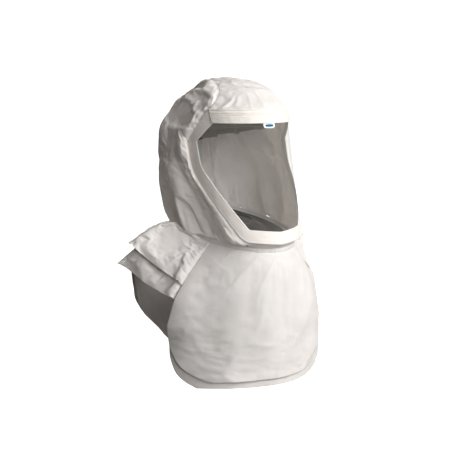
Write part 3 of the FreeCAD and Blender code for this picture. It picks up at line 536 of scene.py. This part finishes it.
def cloth_material():
    made = new_material("nonwoven_cloth", (0.72, 0.70, 0.67), 0.6, Sheen_Weight=0.1)
    shader = made.node_tree.nodes["Principled BSDF"]
    shader.inputs["Specular IOR Level"].default_value = 0.35
    shader.inputs["Subsurface Weight"].default_value = 0.4
    shader.inputs["Subsurface Scale"].default_value = 0.004
    shader.inputs["Subsurface Radius"].default_value = (1.0, 0.9, 0.8)
    mottled(made, (0.77, 0.74, 0.715), (0.70, 0.67, 0.645), 14.0)
    return bumped(
        made,
        [
            ("ShaderNodeTexNoise", 26.0, 0.22, 0.004, {"Detail": 6.0, "Roughness": 0.6}),
            ("ShaderNodeTexNoise", 900.0, 0.25, 0.0004, {"Detail": 4.0}),
        ],
    )


def border_material():
    made = new_material("border_binding", (0.75, 0.72, 0.69), 0.6)
    return bumped(made, [("ShaderNodeTexNoise", 700.0, 0.3, 0.0004, {"Detail": 3.0})])


def film_material():
    made = new_material("visor_film", (0.58, 0.56, 0.52), 0.05)
    tree = made.node_tree
    shader = tree.nodes["Principled BSDF"]
    edge_on = tree.nodes.new("ShaderNodeLayerWeight")
    edge_on.inputs["Blend"].default_value = 0.25
    amount = tree.nodes.new("ShaderNodeMapRange")
    amount.inputs["To Min"].default_value = 0.04
    amount.inputs["To Max"].default_value = 0.24
    tree.links.new(edge_on.outputs["Facing"], amount.inputs["Value"])
    tree.links.new(amount.outputs["Result"], shader.inputs["Alpha"])
    return made


def knit_material():
    made = new_material("neck_knit", (0.012, 0.012, 0.013), 0.8, Sheen_Weight=0.25)
    return bumped(made, [("ShaderNodeTexVoronoi", 700.0, 0.5, 0.0005, {})])


def plastic_material(name, colour, rough, grain=1400.0):
    made = new_material(name, colour, rough)
    return bumped(made, [("ShaderNodeTexNoise", grain, 0.12, 0.0002, {"Detail": 3.0})])


# ---- the hood's cloth -----------------------------------------------------------------------
def grid(rows, cols):
    return np.meshgrid(np.linspace(0, 1, rows), np.linspace(0, 1, cols), indexing="ij")


def normals_of(p):
    """The grid's normals, away from the middle of the hood."""
    n = np.cross(np.gradient(p, axis=0), np.gradient(p, axis=1))
    n /= np.linalg.norm(n, axis=-1, keepdims=True) + 1e-12
    at = p.shape[0] // 2, p.shape[1] // 2
    mid = n[at] @ (p[at] - HOOD_CENTRE)
    return n * (1.0 if mid > 0 else -1.0)


def rim(u, v):
    """True on the outermost cells of a grid."""
    rows, cols = u.shape
    near = np.minimum(np.minimum(u, 1 - u) * (rows - 1), np.minimum(v, 1 - v) * (cols - 1))
    return near < 1.5


def side_panel(side, name):
    """One side of the hood, from the visor's binding round to the crown panel."""
    outline = np.vstack([[(BROW_HALF, BROW_TOP)], lower_outline(60)[:50]])
    crown_share = 0.52

    def front(v):
        flat = along(outline, v)
        return on_visor(side * flat[..., 0], flat[..., 1], 0.2)

    low_front, low_back = front(np.array(1.0)), seam_point(1.0, side)

    def top(u):
        return seam_point(crown_share * u, side)

    def back(v):
        return seam_point(mix(crown_share, 1.0, v), side)

    def foot(u):
        p = neck_point(side * mix(CHIN_SEAM, BACK_SEAM, u), 1.0, 2.0)
        fix_front = low_front - neck_point(side * CHIN_SEAM, 1.0, 2.0)
        fix_back = low_back - neck_point(side * BACK_SEAM, 1.0, 2.0)
        near = (1 - smooth(u / 0.2))[..., None]
        far = smooth((u - 0.8) / 0.2)[..., None]
        return p + fix_front * near + fix_back * far

    u, v = grid(100, 112)
    p = coons(front, back, top, foot, u, v)
    weight = smooth(u / 0.16) * smooth((1 - u) / 0.16) * smooth((1 - v) / 0.16)
    p = p + (onto_hood(p) - p) * weight[..., None]
    n = normals_of(p)
    free = smooth(u / 0.10) * smooth((1 - u) / 0.08) * smooth(v / 0.10) * smooth((1 - v) / 0.03)
    around = u * 9 + 0.8 * noise(u * 3, v * 2, 11)
    folds = 6.0 * np.sin(around * 2.1 + 1.2 * noise(u * 2 + 5, v * 3, 3)) * smooth(v / 0.5)
    folds += 9.0 * np.exp(-(((u - 0.34 - 0.05 * v) / 0.07) ** 2)) * smooth((v - 0.15) / 0.4)
    folds -= 7.0 * np.exp(-(((u - 0.20 - 0.03 * v) / 0.06) ** 2)) * smooth((v - 0.2) / 0.4)
    folds += 2.5 * noise(u * 14, v * 4 + 7, 5) * smooth(v / 0.3)
    low = smooth((v - 0.70) / 0.2)
    gather = 3.6 * noise(u * 26 + 3 * v, v * 5, 8) * low + 1.6 * noise(u * 60, v * 7, 9) * low
    small = 0.8 * layered(u * 12, v * 12, 21)
    p = p + n * ((folds + small) * free + gather * smooth(u / 0.05))[..., None]
    made = outward(grid_mesh(name, p))
    hold = np.where(rim(u, v), 1.0, 0.012 + 0.7 * (1 - smooth(u / 0.18)))
    crumple(made, hold, 0.08, gravity=0.0, gain=1.1, cap=8.0)
    return thicken(finer(made), CLOTH_THICK)


def crown(name):
    """The panel from the brow over the head and down to the nape."""
    def front(u):
        return on_visor((2 * u - 1) * BROW_HALF, BROW_TOP + 0 * u, 2.0)

    def foot(u):
        return neck_point(mix(360 - BACK_SEAM, BACK_SEAM, u), 1.0, 2.0)

    u, v = grid(70, 170)
    p = coons(lambda t: seam_point(t, -1), lambda t: seam_point(t, 1), front, foot, u, v)
    weight = smooth(v / 0.10) * smooth((1 - v) / 0.08) * smooth(np.minimum(u, 1 - u) / 0.12)
    p = p + (onto_hood(p) - p) * weight[..., None]
    near = np.where(p[..., 1] > 0, np.hypot(p[..., 0], p[..., 2] - INLET_Z), 999)
    flat = 1 - smooth((near - 34) / 20)
    p[..., 1] = mix(p[..., 1], INLET_FACE_Y - 2.4, flat)
    n = normals_of(p)
    free = smooth(np.minimum(u, 1 - u) / 0.08) * smooth(v / 0.04) * smooth((1 - v) / 0.03) * (1 - flat)
    wrinkle = 1.8 * layered(u * 5, v * 14, 31)
    near_brow = 1 - smooth((v - 0.07) / 0.10)
    wrinkle += 2.4 * (crease(u * 9 + 1.3, v * 9, 34) - 0.55) * near_brow
    for centre, height in ((0.13, 4.5), (0.86, 4.0), (0.62, 2.2)):
        along_fold = np.exp(-(((u - centre - 0.9 * (v - 0.05)) / 0.022) ** 2))
        wrinkle += height * along_fold * smooth(v / 0.02) * (1 - smooth((v - 0.05) / 0.05))
    wrinkle += 2.2 * (crease(u * 6, v * 26 + 3 * u, 37) - 0.6) * smooth((0.3 - np.abs(v - 0.35)) / 0.1)
    p = p + n * (wrinkle * free)[..., None]
    made = outward(grid_mesh(name, p))
    hold = np.where(rim(u, v), 1.0, np.maximum(0.03, flat))
    crumple(made, hold, 0.04, gravity=0.0, gain=0.7, cap=5.0, reach=9)
    return thicken(finer(made), CLOTH_THICK)


def chin(name):
    """The narrow panel between the visor's foot and the neck."""
    flat = lower_outline(60)[46:]
    flat = np.vstack([flat, (flat * [-1, 1])[-2::-1]])
    u, v = grid(120, 16)
    line = along(flat, u)
    top = on_visor(line[..., 0], line[..., 1] + 4, -1.6)
    foot = neck_point(mix(CHIN_SEAM, -CHIN_SEAM, u), 1.0, 2.0)
    p = mix(top, foot, v[..., None])
    return thicken(outward(grid_mesh(name, p)), CLOTH_THICK)


def neck_band(name):
    """The gathered elastic between the hood and the cape."""
    u, v = grid(720, 14)
    pleat = noise(u * 150, v * 1.5, 3) * (0.5 + 0.5 * noise(u * 23, v, 4))
    bulge = 1.6 * np.sin(math.pi * v)
    p = neck_point(u[:-1] * 360, (pleat * 0.9 + bulge - 3.0)[:-1], mix(4.0, -8.5, v[:-1]))
    return thicken(outward(grid_mesh(name, p, closed_u=True), (0, -27, -213)), 0.8)


def neck_seal(name):
    """The knitted closure round the wearer's neck."""
    u, v = grid(240, 40)
    a = u[:-1] * math.tau
    t = v[:-1]
    rim = neck_point(u[:-1] * 360, -7.0, -4.0)
    hole = vec(58 * np.sin(a), 8 - 62 * np.cos(a), -196 - 12 * np.cos(a))
    p = mix(rim, hole, t[..., None])
    p[..., 2] += -10 * np.sin(math.pi * t)
    return thicken(outward(grid_mesh(name, p, closed_u=True), (0, 0, -400)), 1.0)


# ---- the cape -------------------------------------------------------------------------------
def chest_point(degrees, way, layer):
    """A point of the cape, a way down from the neck (0) past the rim (1)."""
    a = np.radians(degrees)
    to_side = np.sin(a) ** 2
    front = np.cos(a) > 0
    rim_x = CHEST_A * np.sin(a)
    rim_y = -np.where(front, CHEST_FRONT, CHEST_BACK) * np.cos(a) + 20 * to_side
    neck = neck_point(degrees, -2.0, -8.0)
    nx, ny, nz = neck[..., 0], neck[..., 1], neck[..., 2]
    fall = nz - np.where(front, RIM_FRONT_Z, RIM_BACK_Z)
    roundness = mix(0.9, 0.3, smooth(to_side * 1.6))
    w = np.minimum(way, 1.0)
    out = mix(w, np.sin(w * math.pi / 2), roundness)
    down = mix(w, 1 - np.cos(w * math.pi / 2), roundness)
    x, y = mix(nx, rim_x, out), mix(ny, rim_y, out)
    z = nz - fall * down - 100 * np.maximum(0.0, way - 1)
    flare = 14 * np.exp(-(((z + 335) / 45) ** 2)) * smooth((to_side - 0.55) / 0.3) * front
    r = np.hypot(x, y)
    shift = (flare - layer * mix(2.2, LAYER_GAP, smooth(way / 0.3))) / r
    return vec(x + x * shift, y + y * shift, z - 2.4 * layer)


def at_stops(stops, t):
    ts, values = zip(*stops)
    return np.interp(t, ts, values)


def soft_stops(stops, t, blur=0.05):
    """The same stops, with their corners averaged away."""
    return sum(at_stops(stops, np.clip(t + d * blur, 0, 1)) for d in (-1, -0.5, 0, 0.5, 1)) / 5


def bib_panel(name, layer, middle, sides, ways, hem_way):
    """A hanging bib, middle at the front (0) or back (180 degrees)."""
    u, v = grid(110, 100)
    across = 2 * u - 1
    angle, way = soft_stops(sides, v), soft_stops(ways, v) * (v > 0)
    way = np.where(v < 0.1, at_stops(ways, v), way)
    p = chest_point(middle + across * angle, mix(hem_way * v, way, across**4), layer)
    edge = smooth(np.minimum(u, 1 - u) / 0.10) * smooth(v / 0.12) * smooth((1 - v) / 0.08)
    p = p + (blurred(p, 7) - p) * edge[..., None]
    if middle == 0:
        p[..., 2] += FAR_HEM_RISE * smooth((across - 0.1) / 0.9) * smooth((v - 0.45) / 0.5)
    n = normals_of(p)
    free = smooth(v / 0.12)
    drift = (across + v * 0.9) * 4 + noise(u * 2, v * 2, 40 + layer)
    folds = 3.4 * (crease(drift, v * 1.5, 44 + layer) - 0.5) + 2.0 * layered(u * 6, v * 6, 50)
    folds += 1.1 * (crease(u * 9 + v * 5, v * 7 - u * 3, 52) - 0.6)
    gather = 0.8 * noise(u * 60, v * 3, 9) * (1 - smooth(v / 0.10))
    amount = 1.0 if layer == 0 else 0.3
    p = p + n * ((folds * free + gather) * amount)[..., None]
    made = outward(grid_mesh(name, p), CAPE_CENTRE)
    hold = np.maximum(0.03, 1 - smooth(v / 0.24))
    hold = np.maximum(hold, np.where(v < 0.55, 1 - smooth(np.minimum(u, 1 - u) / 0.08), 0))
    if layer == 0:
        crumple(made, hold, 0.03, bend=1.5, gravity=0.1, cap=2.2, gain=0.25)
    return thicken(finer(made), CLOTH_THICK)


def yoke_panel(name, side, layer, from_degrees, edge_way):
    """A shoulder flap, from the bib's side edge to the shoulder seam."""
    tip = np.array([side * SHOULDER_TIP[layer][0], *SHOULDER_TIP[layer][1:]])
    lift = NEAR_FLAP_LIFT if side < 0 else FAR_FLAP_LIFT
    neck_tip = chest_point(side * SHOULDER_SEAM, np.array(0.0), layer)
    corner = chest_point(side * from_degrees, np.array(edge_way), layer)

    def seam(v):
        w = v[..., None]
        p = neck_tip * (1 - w) + tip * w
        p[..., 2] += lift * np.sin(math.pi * v**0.75)
        return p

    def inner(v):
        return chest_point(side * from_degrees + 0 * v, edge_way * v, layer)

    def top(u):
        return chest_point(side * mix(from_degrees, SHOULDER_SEAM, u), 0 * u, layer)

    def edge(u):
        return corner * (1 - u[..., None]) + tip * u[..., None]

    u, v = grid(40, 60)
    p = coons(inner, seam, top, edge, u, v)
    p[..., 2] += FLAP_BELLY * np.sin(math.pi * u) * np.sin(math.pi * v)
    n = normals_of(p)
    free = smooth(v / 0.25) * smooth(u * 5)
    reach = smooth((v - 0.45) / 0.35)
    fold = 5.0 * (np.abs(np.clip((u - 0.55 + 0.4 * (1 - v)) / 0.16, -1, 1)) - 0.6) * reach
    fold += 3.0 * (np.abs(np.clip((u - 0.82 + 0.25 * (1 - v)) / 0.09, -1, 1)) - 0.6) * reach
    fold = (fold * (0.7 + 0.3 * layer) + 1.8 * layered(u * 3, v * 4, 60 + layer)) * free
    seam_free = smooth((1 - u) / 0.12) * 0.8 + 0.2
    p = p + n * (fold * seam_free)[..., None]
    made = outward(grid_mesh(name, p), FLAP_CENTRE)
    hold = np.maximum(1 - smooth(u / 0.06), 1 - smooth((1 - u) / 0.05))
    hold = np.maximum(np.maximum(hold, 1 - smooth(v / 0.06)), 0.02)
    crumple(made, hold, 0.07, frames=16, gravity=0.2, cap=8.0, gain=1.2)
    return thicken(finer(made), CLOTH_THICK)


def join(objects, name):
    for o in objects:
        apply_modifiers(o)
    bpy.ops.object.select_all(action="DESELECT")
    for o in objects:
        o.select_set(True)
    bpy.context.view_layer.objects.active = objects[0]
    bpy.ops.object.join()
    objects[0].name = name
    return objects[0]


def bib_front(layer, name):
    if layer == 0:
        sides = [(0, BIB_SIDE), (0.7, BIB_SIDE), (0.86, 58.0), (1, 41.0)]
        ways = [(0, 0), (0.5, 1.0), (0.7, 1.42), (0.86, 1.86), (1, 2.12)]
        panel = bib_panel(name + "_panel", 0, 0.0, sides, ways, 2.05)
    else:
        sides = [(0, BIB_SIDE), (0.74, BIB_SIDE), (0.88, 61.0), (1, 48.0)]
        ways = [(0, 0), (0.5, 1.05), (0.74, 1.62), (0.88, 2.02), (1, 2.24)]
        panel = bib_panel(name + "_panel", 1, 0.0, sides, ways, 2.18)
    yokes = [yoke_panel(name + "_yoke", s, layer, BIB_SIDE, 0.55 + 0.16 * layer) for s in (-1, 1)]
    return join([panel] + yokes, name)


def bib_back(layer, name):
    half = 180.0 - BACK_BIB_SIDE
    sides = [(0, half), (0.3, half), (0.66, 52.0), (0.88, 35.0), (1, 23.0)]
    ways = [(0, 0), (0.3, 0.8), (0.66, 1.75), (0.88, 2.3), (1, 2.55)]
    panel = bib_panel(name + "_panel", layer, 180.0, sides, ways, 2.85 + 0.1 * layer)
    yokes = [yoke_panel(name + "_yoke", s, layer, BACK_BIB_SIDE, 0.5 + 0.16 * layer) for s in (-1, 1)]
    return join([panel] + yokes, name)


# ---- visor ----------------------------------------------------------------------------------
def lens(name):
    """The clear film, which laps under the bindings all round."""
    lap = 8.0
    side = along(inset(lower_outline(60)[:50], lap), np.linspace(0, 1, 60))
    side = along(np.vstack([[(BROW_HALF - 6, BROW_TOP - lap)], side]), np.linspace(0, 1, 70))
    u = grid(120, 70)[0]
    p = on_visor((2 * u - 1) * side[None, :, 0], side[None, :, 1] + 0 * u, 0.0)
    return thicken(outward(grid_mesh(name, p)), 0.8, -1.0)


def strip(name, outer, inner, rows, cols, out):
    """A cloth strip on the visor between two flat paths, with a pressed edge on each side."""
    u, v = grid(rows, cols)
    a, b = along(outer, u), along(inner, u)
    flat = mix(a, b, v[..., None])
    edge = np.minimum(v, 1 - v) * BORDER_WIDTH
    lift = out + 0.5 * smooth(edge / 2.5) - 0.35 * np.exp(-(((edge - 4.5) / 0.7) ** 2))
    lift = lift + 0.25 * layered(u * 40, v * 4, 71)
    p = on_visor(flat[..., 0], flat[..., 1], lift)
    return thicken(outward(grid_mesh(name, p)), 0.9, -1.0)


def border_lower(name):
    half = lower_outline(120)
    outer = np.vstack([half, (half * [-1, 1])[-2::-1]])
    return strip(name, outer, inset(outer, BORDER_WIDTH), 420, 24, 1.1)


def border_upper(name, side):
    top, foot = (BROW_HALF + 1.5, BROW_TOP - 2), (WIDE_CORNER[0] + 1.0, WIDE_CORNER[1] + 1)
    t = np.linspace(0, 1, 30)[:, None]
    outer = mix(np.array([top]), np.array([foot]), t)
    inner = outer - np.hstack([BORDER_WIDTH * mix(0.75, 1.0, t), 17 * (1 - t)])
    return strip(name, outer * [side, 1], inner * [side, 1], 80, 24, 1.35)


def brow(name):
    """The folded band over the visor's top edge, with its stitched lines."""
    u, v = grid(260, 60)
    across = 2 * u - 1
    half = mix(BROW_HALF - 1.5, BROW_HALF - 5, v)
    lines = sum(np.exp(-(((v - at) / 0.022) ** 2)) for at in (0.10, 0.34, 0.44))
    lift = 2.9 + 0.8 * np.sin(math.pi * v) ** 0.6 - 1.0 * lines
    lift += 0.55 * layered(u * 18, v * 3, 75) * smooth((1 - abs(across)) / 0.05)
    p = on_visor(across * half, mix(BROW_TOP, BROW_FOOT, v), lift)
    return thicken(outward(grid_mesh(name, p)), 1.6, -1.0)


def tab(name):
    """The woven tab under the brow band."""
    u, v = grid(40, 24)
    half = 14.0 * np.sqrt(np.clip(1 - np.maximum(0, (v - 0.55) / 0.5) ** 3, 0, 1))
    p = on_visor((2 * u - 1) * half, mix(BROW_FOOT + 2, BROW_FOOT - 10, v), 1.5)
    return thicken(outward(grid_mesh(name, p)), 0.8, -1.0)


def tab_mark(name):
    """A plain blue bar on the tab."""
    u, v = grid(30, 10)
    half = 10.0 * np.sqrt(np.clip(1 - (2 * v - 1) ** 4, 0, 1))
    p = on_visor((2 * u - 1) * half, mix(BROW_FOOT - 2.0, BROW_FOOT - 7.5, v), 1.75)
    return thicken(outward(grid_mesh(name, p)), 0.3, -1.0)


# ---- the scene ------------------------------------------------------------------------------
def dress(obj, material, node_names, slot, body="hood"):
    """Finishes a piece: its material, its body, and the solids that it stands for."""
    apply_modifiers(obj)
    obj.data.materials.clear()
    obj.data.materials.append(material)
    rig.ride(obj, body)
    if node_names:
        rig.replaces(obj, *node_names)
    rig.slot(obj, slot)
    return obj


def flat_area(obj):
    """Half of a thickened sheet's surface."""
    return sum(p.area for p in obj.data.polygons) / 2


def cloth_sheet(obj, width, length, held, rests_on):
    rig.sheet(obj, flat=(width, length), held=held, rests_on=rests_on)
    print("sheet", obj.name, round(flat_area(obj), 4), "of", round(width * length, 4))


def soft_pad(frame, node, name, voxel, puff):
    """A foam pad with rounded edges, swollen a little from its solid."""
    made = bpy.data.objects.new(name, frame["nodes"][node].data.copy())
    bpy.context.collection.objects.link(made)
    made.vertex_groups.clear()
    melt = made.modifiers.new("melt", "REMESH")
    melt.mode = "VOXEL"
    melt.voxel_size = voxel * MM
    relax = made.modifiers.new("relax", "SMOOTH")
    relax.factor = 0.6
    relax.iterations = 6
    swell = made.modifiers.new("swell", "DISPLACE")
    swell.strength = puff * MM
    swell.mid_level = 0.0
    apply_modifiers(made)
    made.data.shade_smooth()
    return made


def pads(frame):
    for node, name, slot, puff in (
        ("sweatband", "brow_pad", "sweat_foam", 0.25),
        ("nape_pad", "nape_cushion", "pad_foam", 0.3),
    ):
        foam = plastic_material(slot + "_cover", (0.30, 0.285, 0.27), 0.9, 420.0)
        piece = dress(soft_pad(frame, node, name, 1.2, puff), foam, [node], slot)
        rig.padded(piece, fill=0.7)


def return_spring(frame):
    """The button's coil, which shortens as the button goes in."""
    node = "release_button_spring"
    made = bpy.data.objects.new("button_coil", frame["nodes"][node].data.copy())
    bpy.context.collection.objects.link(made)
    steel = new_material("spring_steel", (0.6, 0.6, 0.62), 0.3, Metallic=1.0)
    dress(made, steel, [node], "steel", "hose_collar")
    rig.squash(made, "release_press", (0, 0, 1), (0, 0, COIL_FOOT * MM), COIL_KEEP)


def soft_pieces():
    cloth, binding = cloth_material(), border_material()
    right = dress(side_panel(-1, "hood_side_right"), cloth, ["side_panel_right"], "hood_fabric")
    left = dress(side_panel(1, "hood_side_left"), cloth, ["side_panel_left"], "hood_fabric")
    top = dress(crown("hood_crown"), cloth, ["crown_gusset"], "hood_fabric")
    under = dress(chin("hood_chin"), cloth, ["chin_panel"], "hood_fabric")
    front_out = dress(bib_front(0, "cape_front_outer"), cloth, ["bib_front_outer"], "hood_fabric")
    front_in = dress(bib_front(1, "cape_front_inner"), cloth, ["bib_front_inner"], "hood_fabric")
    back_out = dress(bib_back(0, "cape_back_outer"), cloth, ["bib_back_outer"], "hood_fabric")
    back_in = dress(bib_back(1, "cape_back_inner"), cloth, ["bib_back_inner"], "hood_fabric")
    band = dress(neck_band("neck_elastic"), cloth, ["neck_gather_band"], "elastic")
    knit = knit_material()
    seal = dress(neck_seal("neck_knit_seal"), knit, ["neck_seal"], "neck_knit")
    dress(border_lower("visor_binding_lower"), binding, ["visor_border_lower"], "border_fabric")
    dress(border_upper("visor_binding_right", -1), binding, ["visor_border_upper_right"], "border_fabric")
    dress(border_upper("visor_binding_left", 1), binding, ["visor_border_upper_left"], "border_fabric")
    dress(brow("brow_fold"), binding, ["brow_band"], "border_fabric")
    for piece in (right, left):
        cloth_sheet(piece, 0.30, 0.30, "gathered", ["crown_gusset", "visor_border_lower"])
    cloth_sheet(top, 0.15, 0.52, "stretched", ["brow_band"])
    cloth_sheet(under, 0.13, 0.014, "stretched", ["visor_border_lower"])
    for piece in (front_out, front_in):
        cloth_sheet(piece, 0.50, 0.36, "hung", ["neck_gather_band"])
    for piece in (back_out, back_in):
        cloth_sheet(piece, 0.40, 0.30, "hung", ["neck_gather_band"])
    cloth_sheet(band, 0.84, 0.014, "gathered", ["bib_front_outer"])
    cloth_sheet(seal, 0.60, 0.07, "stretched", ["neck_gather_band"])


def hard_pieces(frame):
    dress(lens("visor_sheet"), film_material(), ["visor_lens"], "visor_film")
    white = new_material("tab_white", (0.86, 0.88, 0.89), 0.35)
    blue = new_material("tab_blue", (0.0, 0.10, 0.28), 0.35)
    dress(tab("brow_tab"), white, ["maker_tab"], "tab_print")
    dress(tab_mark("brow_tab_mark"), blue, [], "tab_print")
    finishes = {
        "harness_plastic": plastic_material("harness_nylon", (0.36, 0.35, 0.34), 0.5),
        "strap_plastic": plastic_material("strap_nylon", (0.30, 0.295, 0.29), 0.45),
        "ratchet_plastic": plastic_material("ratchet_case", (0.03, 0.03, 0.032), 0.42),
        "knob_plastic": plastic_material("knob_grip", (0.02, 0.02, 0.022), 0.6),
        "stud_plastic": plastic_material("stud", (0.05, 0.05, 0.05), 0.3),
        "port_plastic": plastic_material("port", (0.05, 0.05, 0.053), 0.4),
        "collar_plastic": plastic_material("collar", (0.10, 0.105, 0.11), 0.38),
        "button_plastic": plastic_material("button", (0.01, 0.07, 0.22), 0.3),
        "duct_plastic": plastic_material("duct", (0.55, 0.55, 0.54), 0.45),
        "grille_plastic": plastic_material("grille", (0.4, 0.4, 0.4), 0.45),
        "seal_rubber": plastic_material("seal_rubber", (0.012, 0.012, 0.012), 0.7),
        "steel": new_material("zinc_steel", (0.6, 0.6, 0.62), 0.3, Metallic=1.0),
    }
    slots = {s["node"]: s["material_slot"] for s in frame["record"]["subparts"]}
    for node, obj in frame["nodes"].items():
        if slots.get(node) in finishes:
            obj.data.materials.clear()
            obj.data.materials.append(finishes[slots[node]])


def backdrop(name, points, faces):
    """A white stage surface that lights nothing, so that it only closes the view."""
    mesh = bpy.data.meshes.new(name)
    mesh.from_pydata(points, [], faces)
    made = bpy.data.objects.new(name, mesh)
    bpy.context.collection.objects.link(made)
    white = new_material(name + "_white", (0.9, 0.9, 0.9), 0.9)
    shader = white.node_tree.nodes["Principled BSDF"]
    shader.inputs["Emission Color"].default_value = (1, 1, 1, 1)
    shader.inputs["Emission Strength"].default_value = 1.0
    made.data.materials.append(white)
    made.visible_diffuse = made.visible_glossy = made.visible_shadow = False
    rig.stage(made)
    return made


def studio():
    z, r, n = FLOOR_Z, ROOM_RADIUS, ROOM_SIDES
    backdrop("floor", [(-r, -r, z), (r, -r, z), (r, r, z), (-r, r, z)], [(0, 1, 2, 3)])
    turns = [math.tau * i / n for i in range(n)]
    ring = [(r * math.cos(t), r * math.sin(t), h) for h in (z, WALL_TOP) for t in turns]
    sides = [(i, (i + 1) % n, n + (i + 1) % n, n + i) for i in range(n)]
    lid = [(n + i, n + (i + 1) % n, 2 * n) for i in range(n)]
    backdrop("surround", ring + [(0, 0, ROOF_TOP)], sides + lid)
    studio_light()
    for name, place, size, power in LAMPS:
        data = bpy.data.lights.new(name, "AREA")
        data.shape = "DISK"
        data.size = size
        data.energy = power
        data.color = (1.0, 0.985, 0.965)
        lamp = bpy.data.objects.new(name, data)
        lamp.location = place
        aim = Vector(LAMP_AIM) - Vector(place)
        lamp.rotation_euler = aim.to_track_quat("-Z", "Y").to_euler()
        lamp.visible_glossy = False
        bpy.context.collection.objects.link(lamp)


def studio_light():
    """A dim warm surround, lighter above and to the wearer's left."""
    world = bpy.data.worlds.new("studio")
    bpy.context.scene.world = world
    world.use_nodes = True
    tree = world.node_tree
    place = tree.nodes.new("ShaderNodeTexCoord")
    turn = tree.nodes.new("ShaderNodeVectorMath")
    turn.operation = "DOT_PRODUCT"
    turn.inputs[1].default_value = (0.50, -0.20, 0.84)
    ramp = tree.nodes.new("ShaderNodeMapRange")
    ramp.interpolation_type = "SMOOTHSTEP"
    ramp.inputs["From Min"].default_value = -0.7
    ramp.inputs["From Max"].default_value = 0.9
    ramp.inputs["To Min"].default_value = 0.07
    ramp.inputs["To Max"].default_value = 0.40
    back = tree.nodes["Background"]
    tree.links.new(place.outputs["Generated"], turn.inputs[0])
    tree.links.new(turn.outputs["Value"], ramp.inputs["Value"])
    tree.links.new(ramp.outputs["Result"], back.inputs["Strength"])
    back.inputs["Color"].default_value = (1.0, 0.93, 0.88, 1)


def camera():
    data = bpy.data.cameras.new("camera")
    data.lens, data.sensor_width = CAMERA_LENS, CAMERA_SENSOR
    made = bpy.data.objects.new("camera", data)
    made.location = CAMERA_PLACE
    aim = Vector(CAMERA_TARGET) - made.location
    made.rotation_euler = aim.to_track_quat("-Z", "Y").to_euler()
    bpy.context.collection.objects.link(made)
    bpy.context.scene.camera = made
    bpy.context.scene.view_settings.view_transform = "Standard"


def save_size(name):
    low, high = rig.bounds()
    sizes = json.load(open("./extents.json")) if name != "frame" else {}
    sizes[name] = [[round(float(x), 5) for x in low], [round(float(x), 5) for x in high]]
    json.dump(sizes, open("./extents.json", "w"))


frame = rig.load()
save_size("frame")
soft_pieces()
pads(frame)
hard_pieces(frame)
return_spring(frame)
studio()
camera()
save_size("looks")
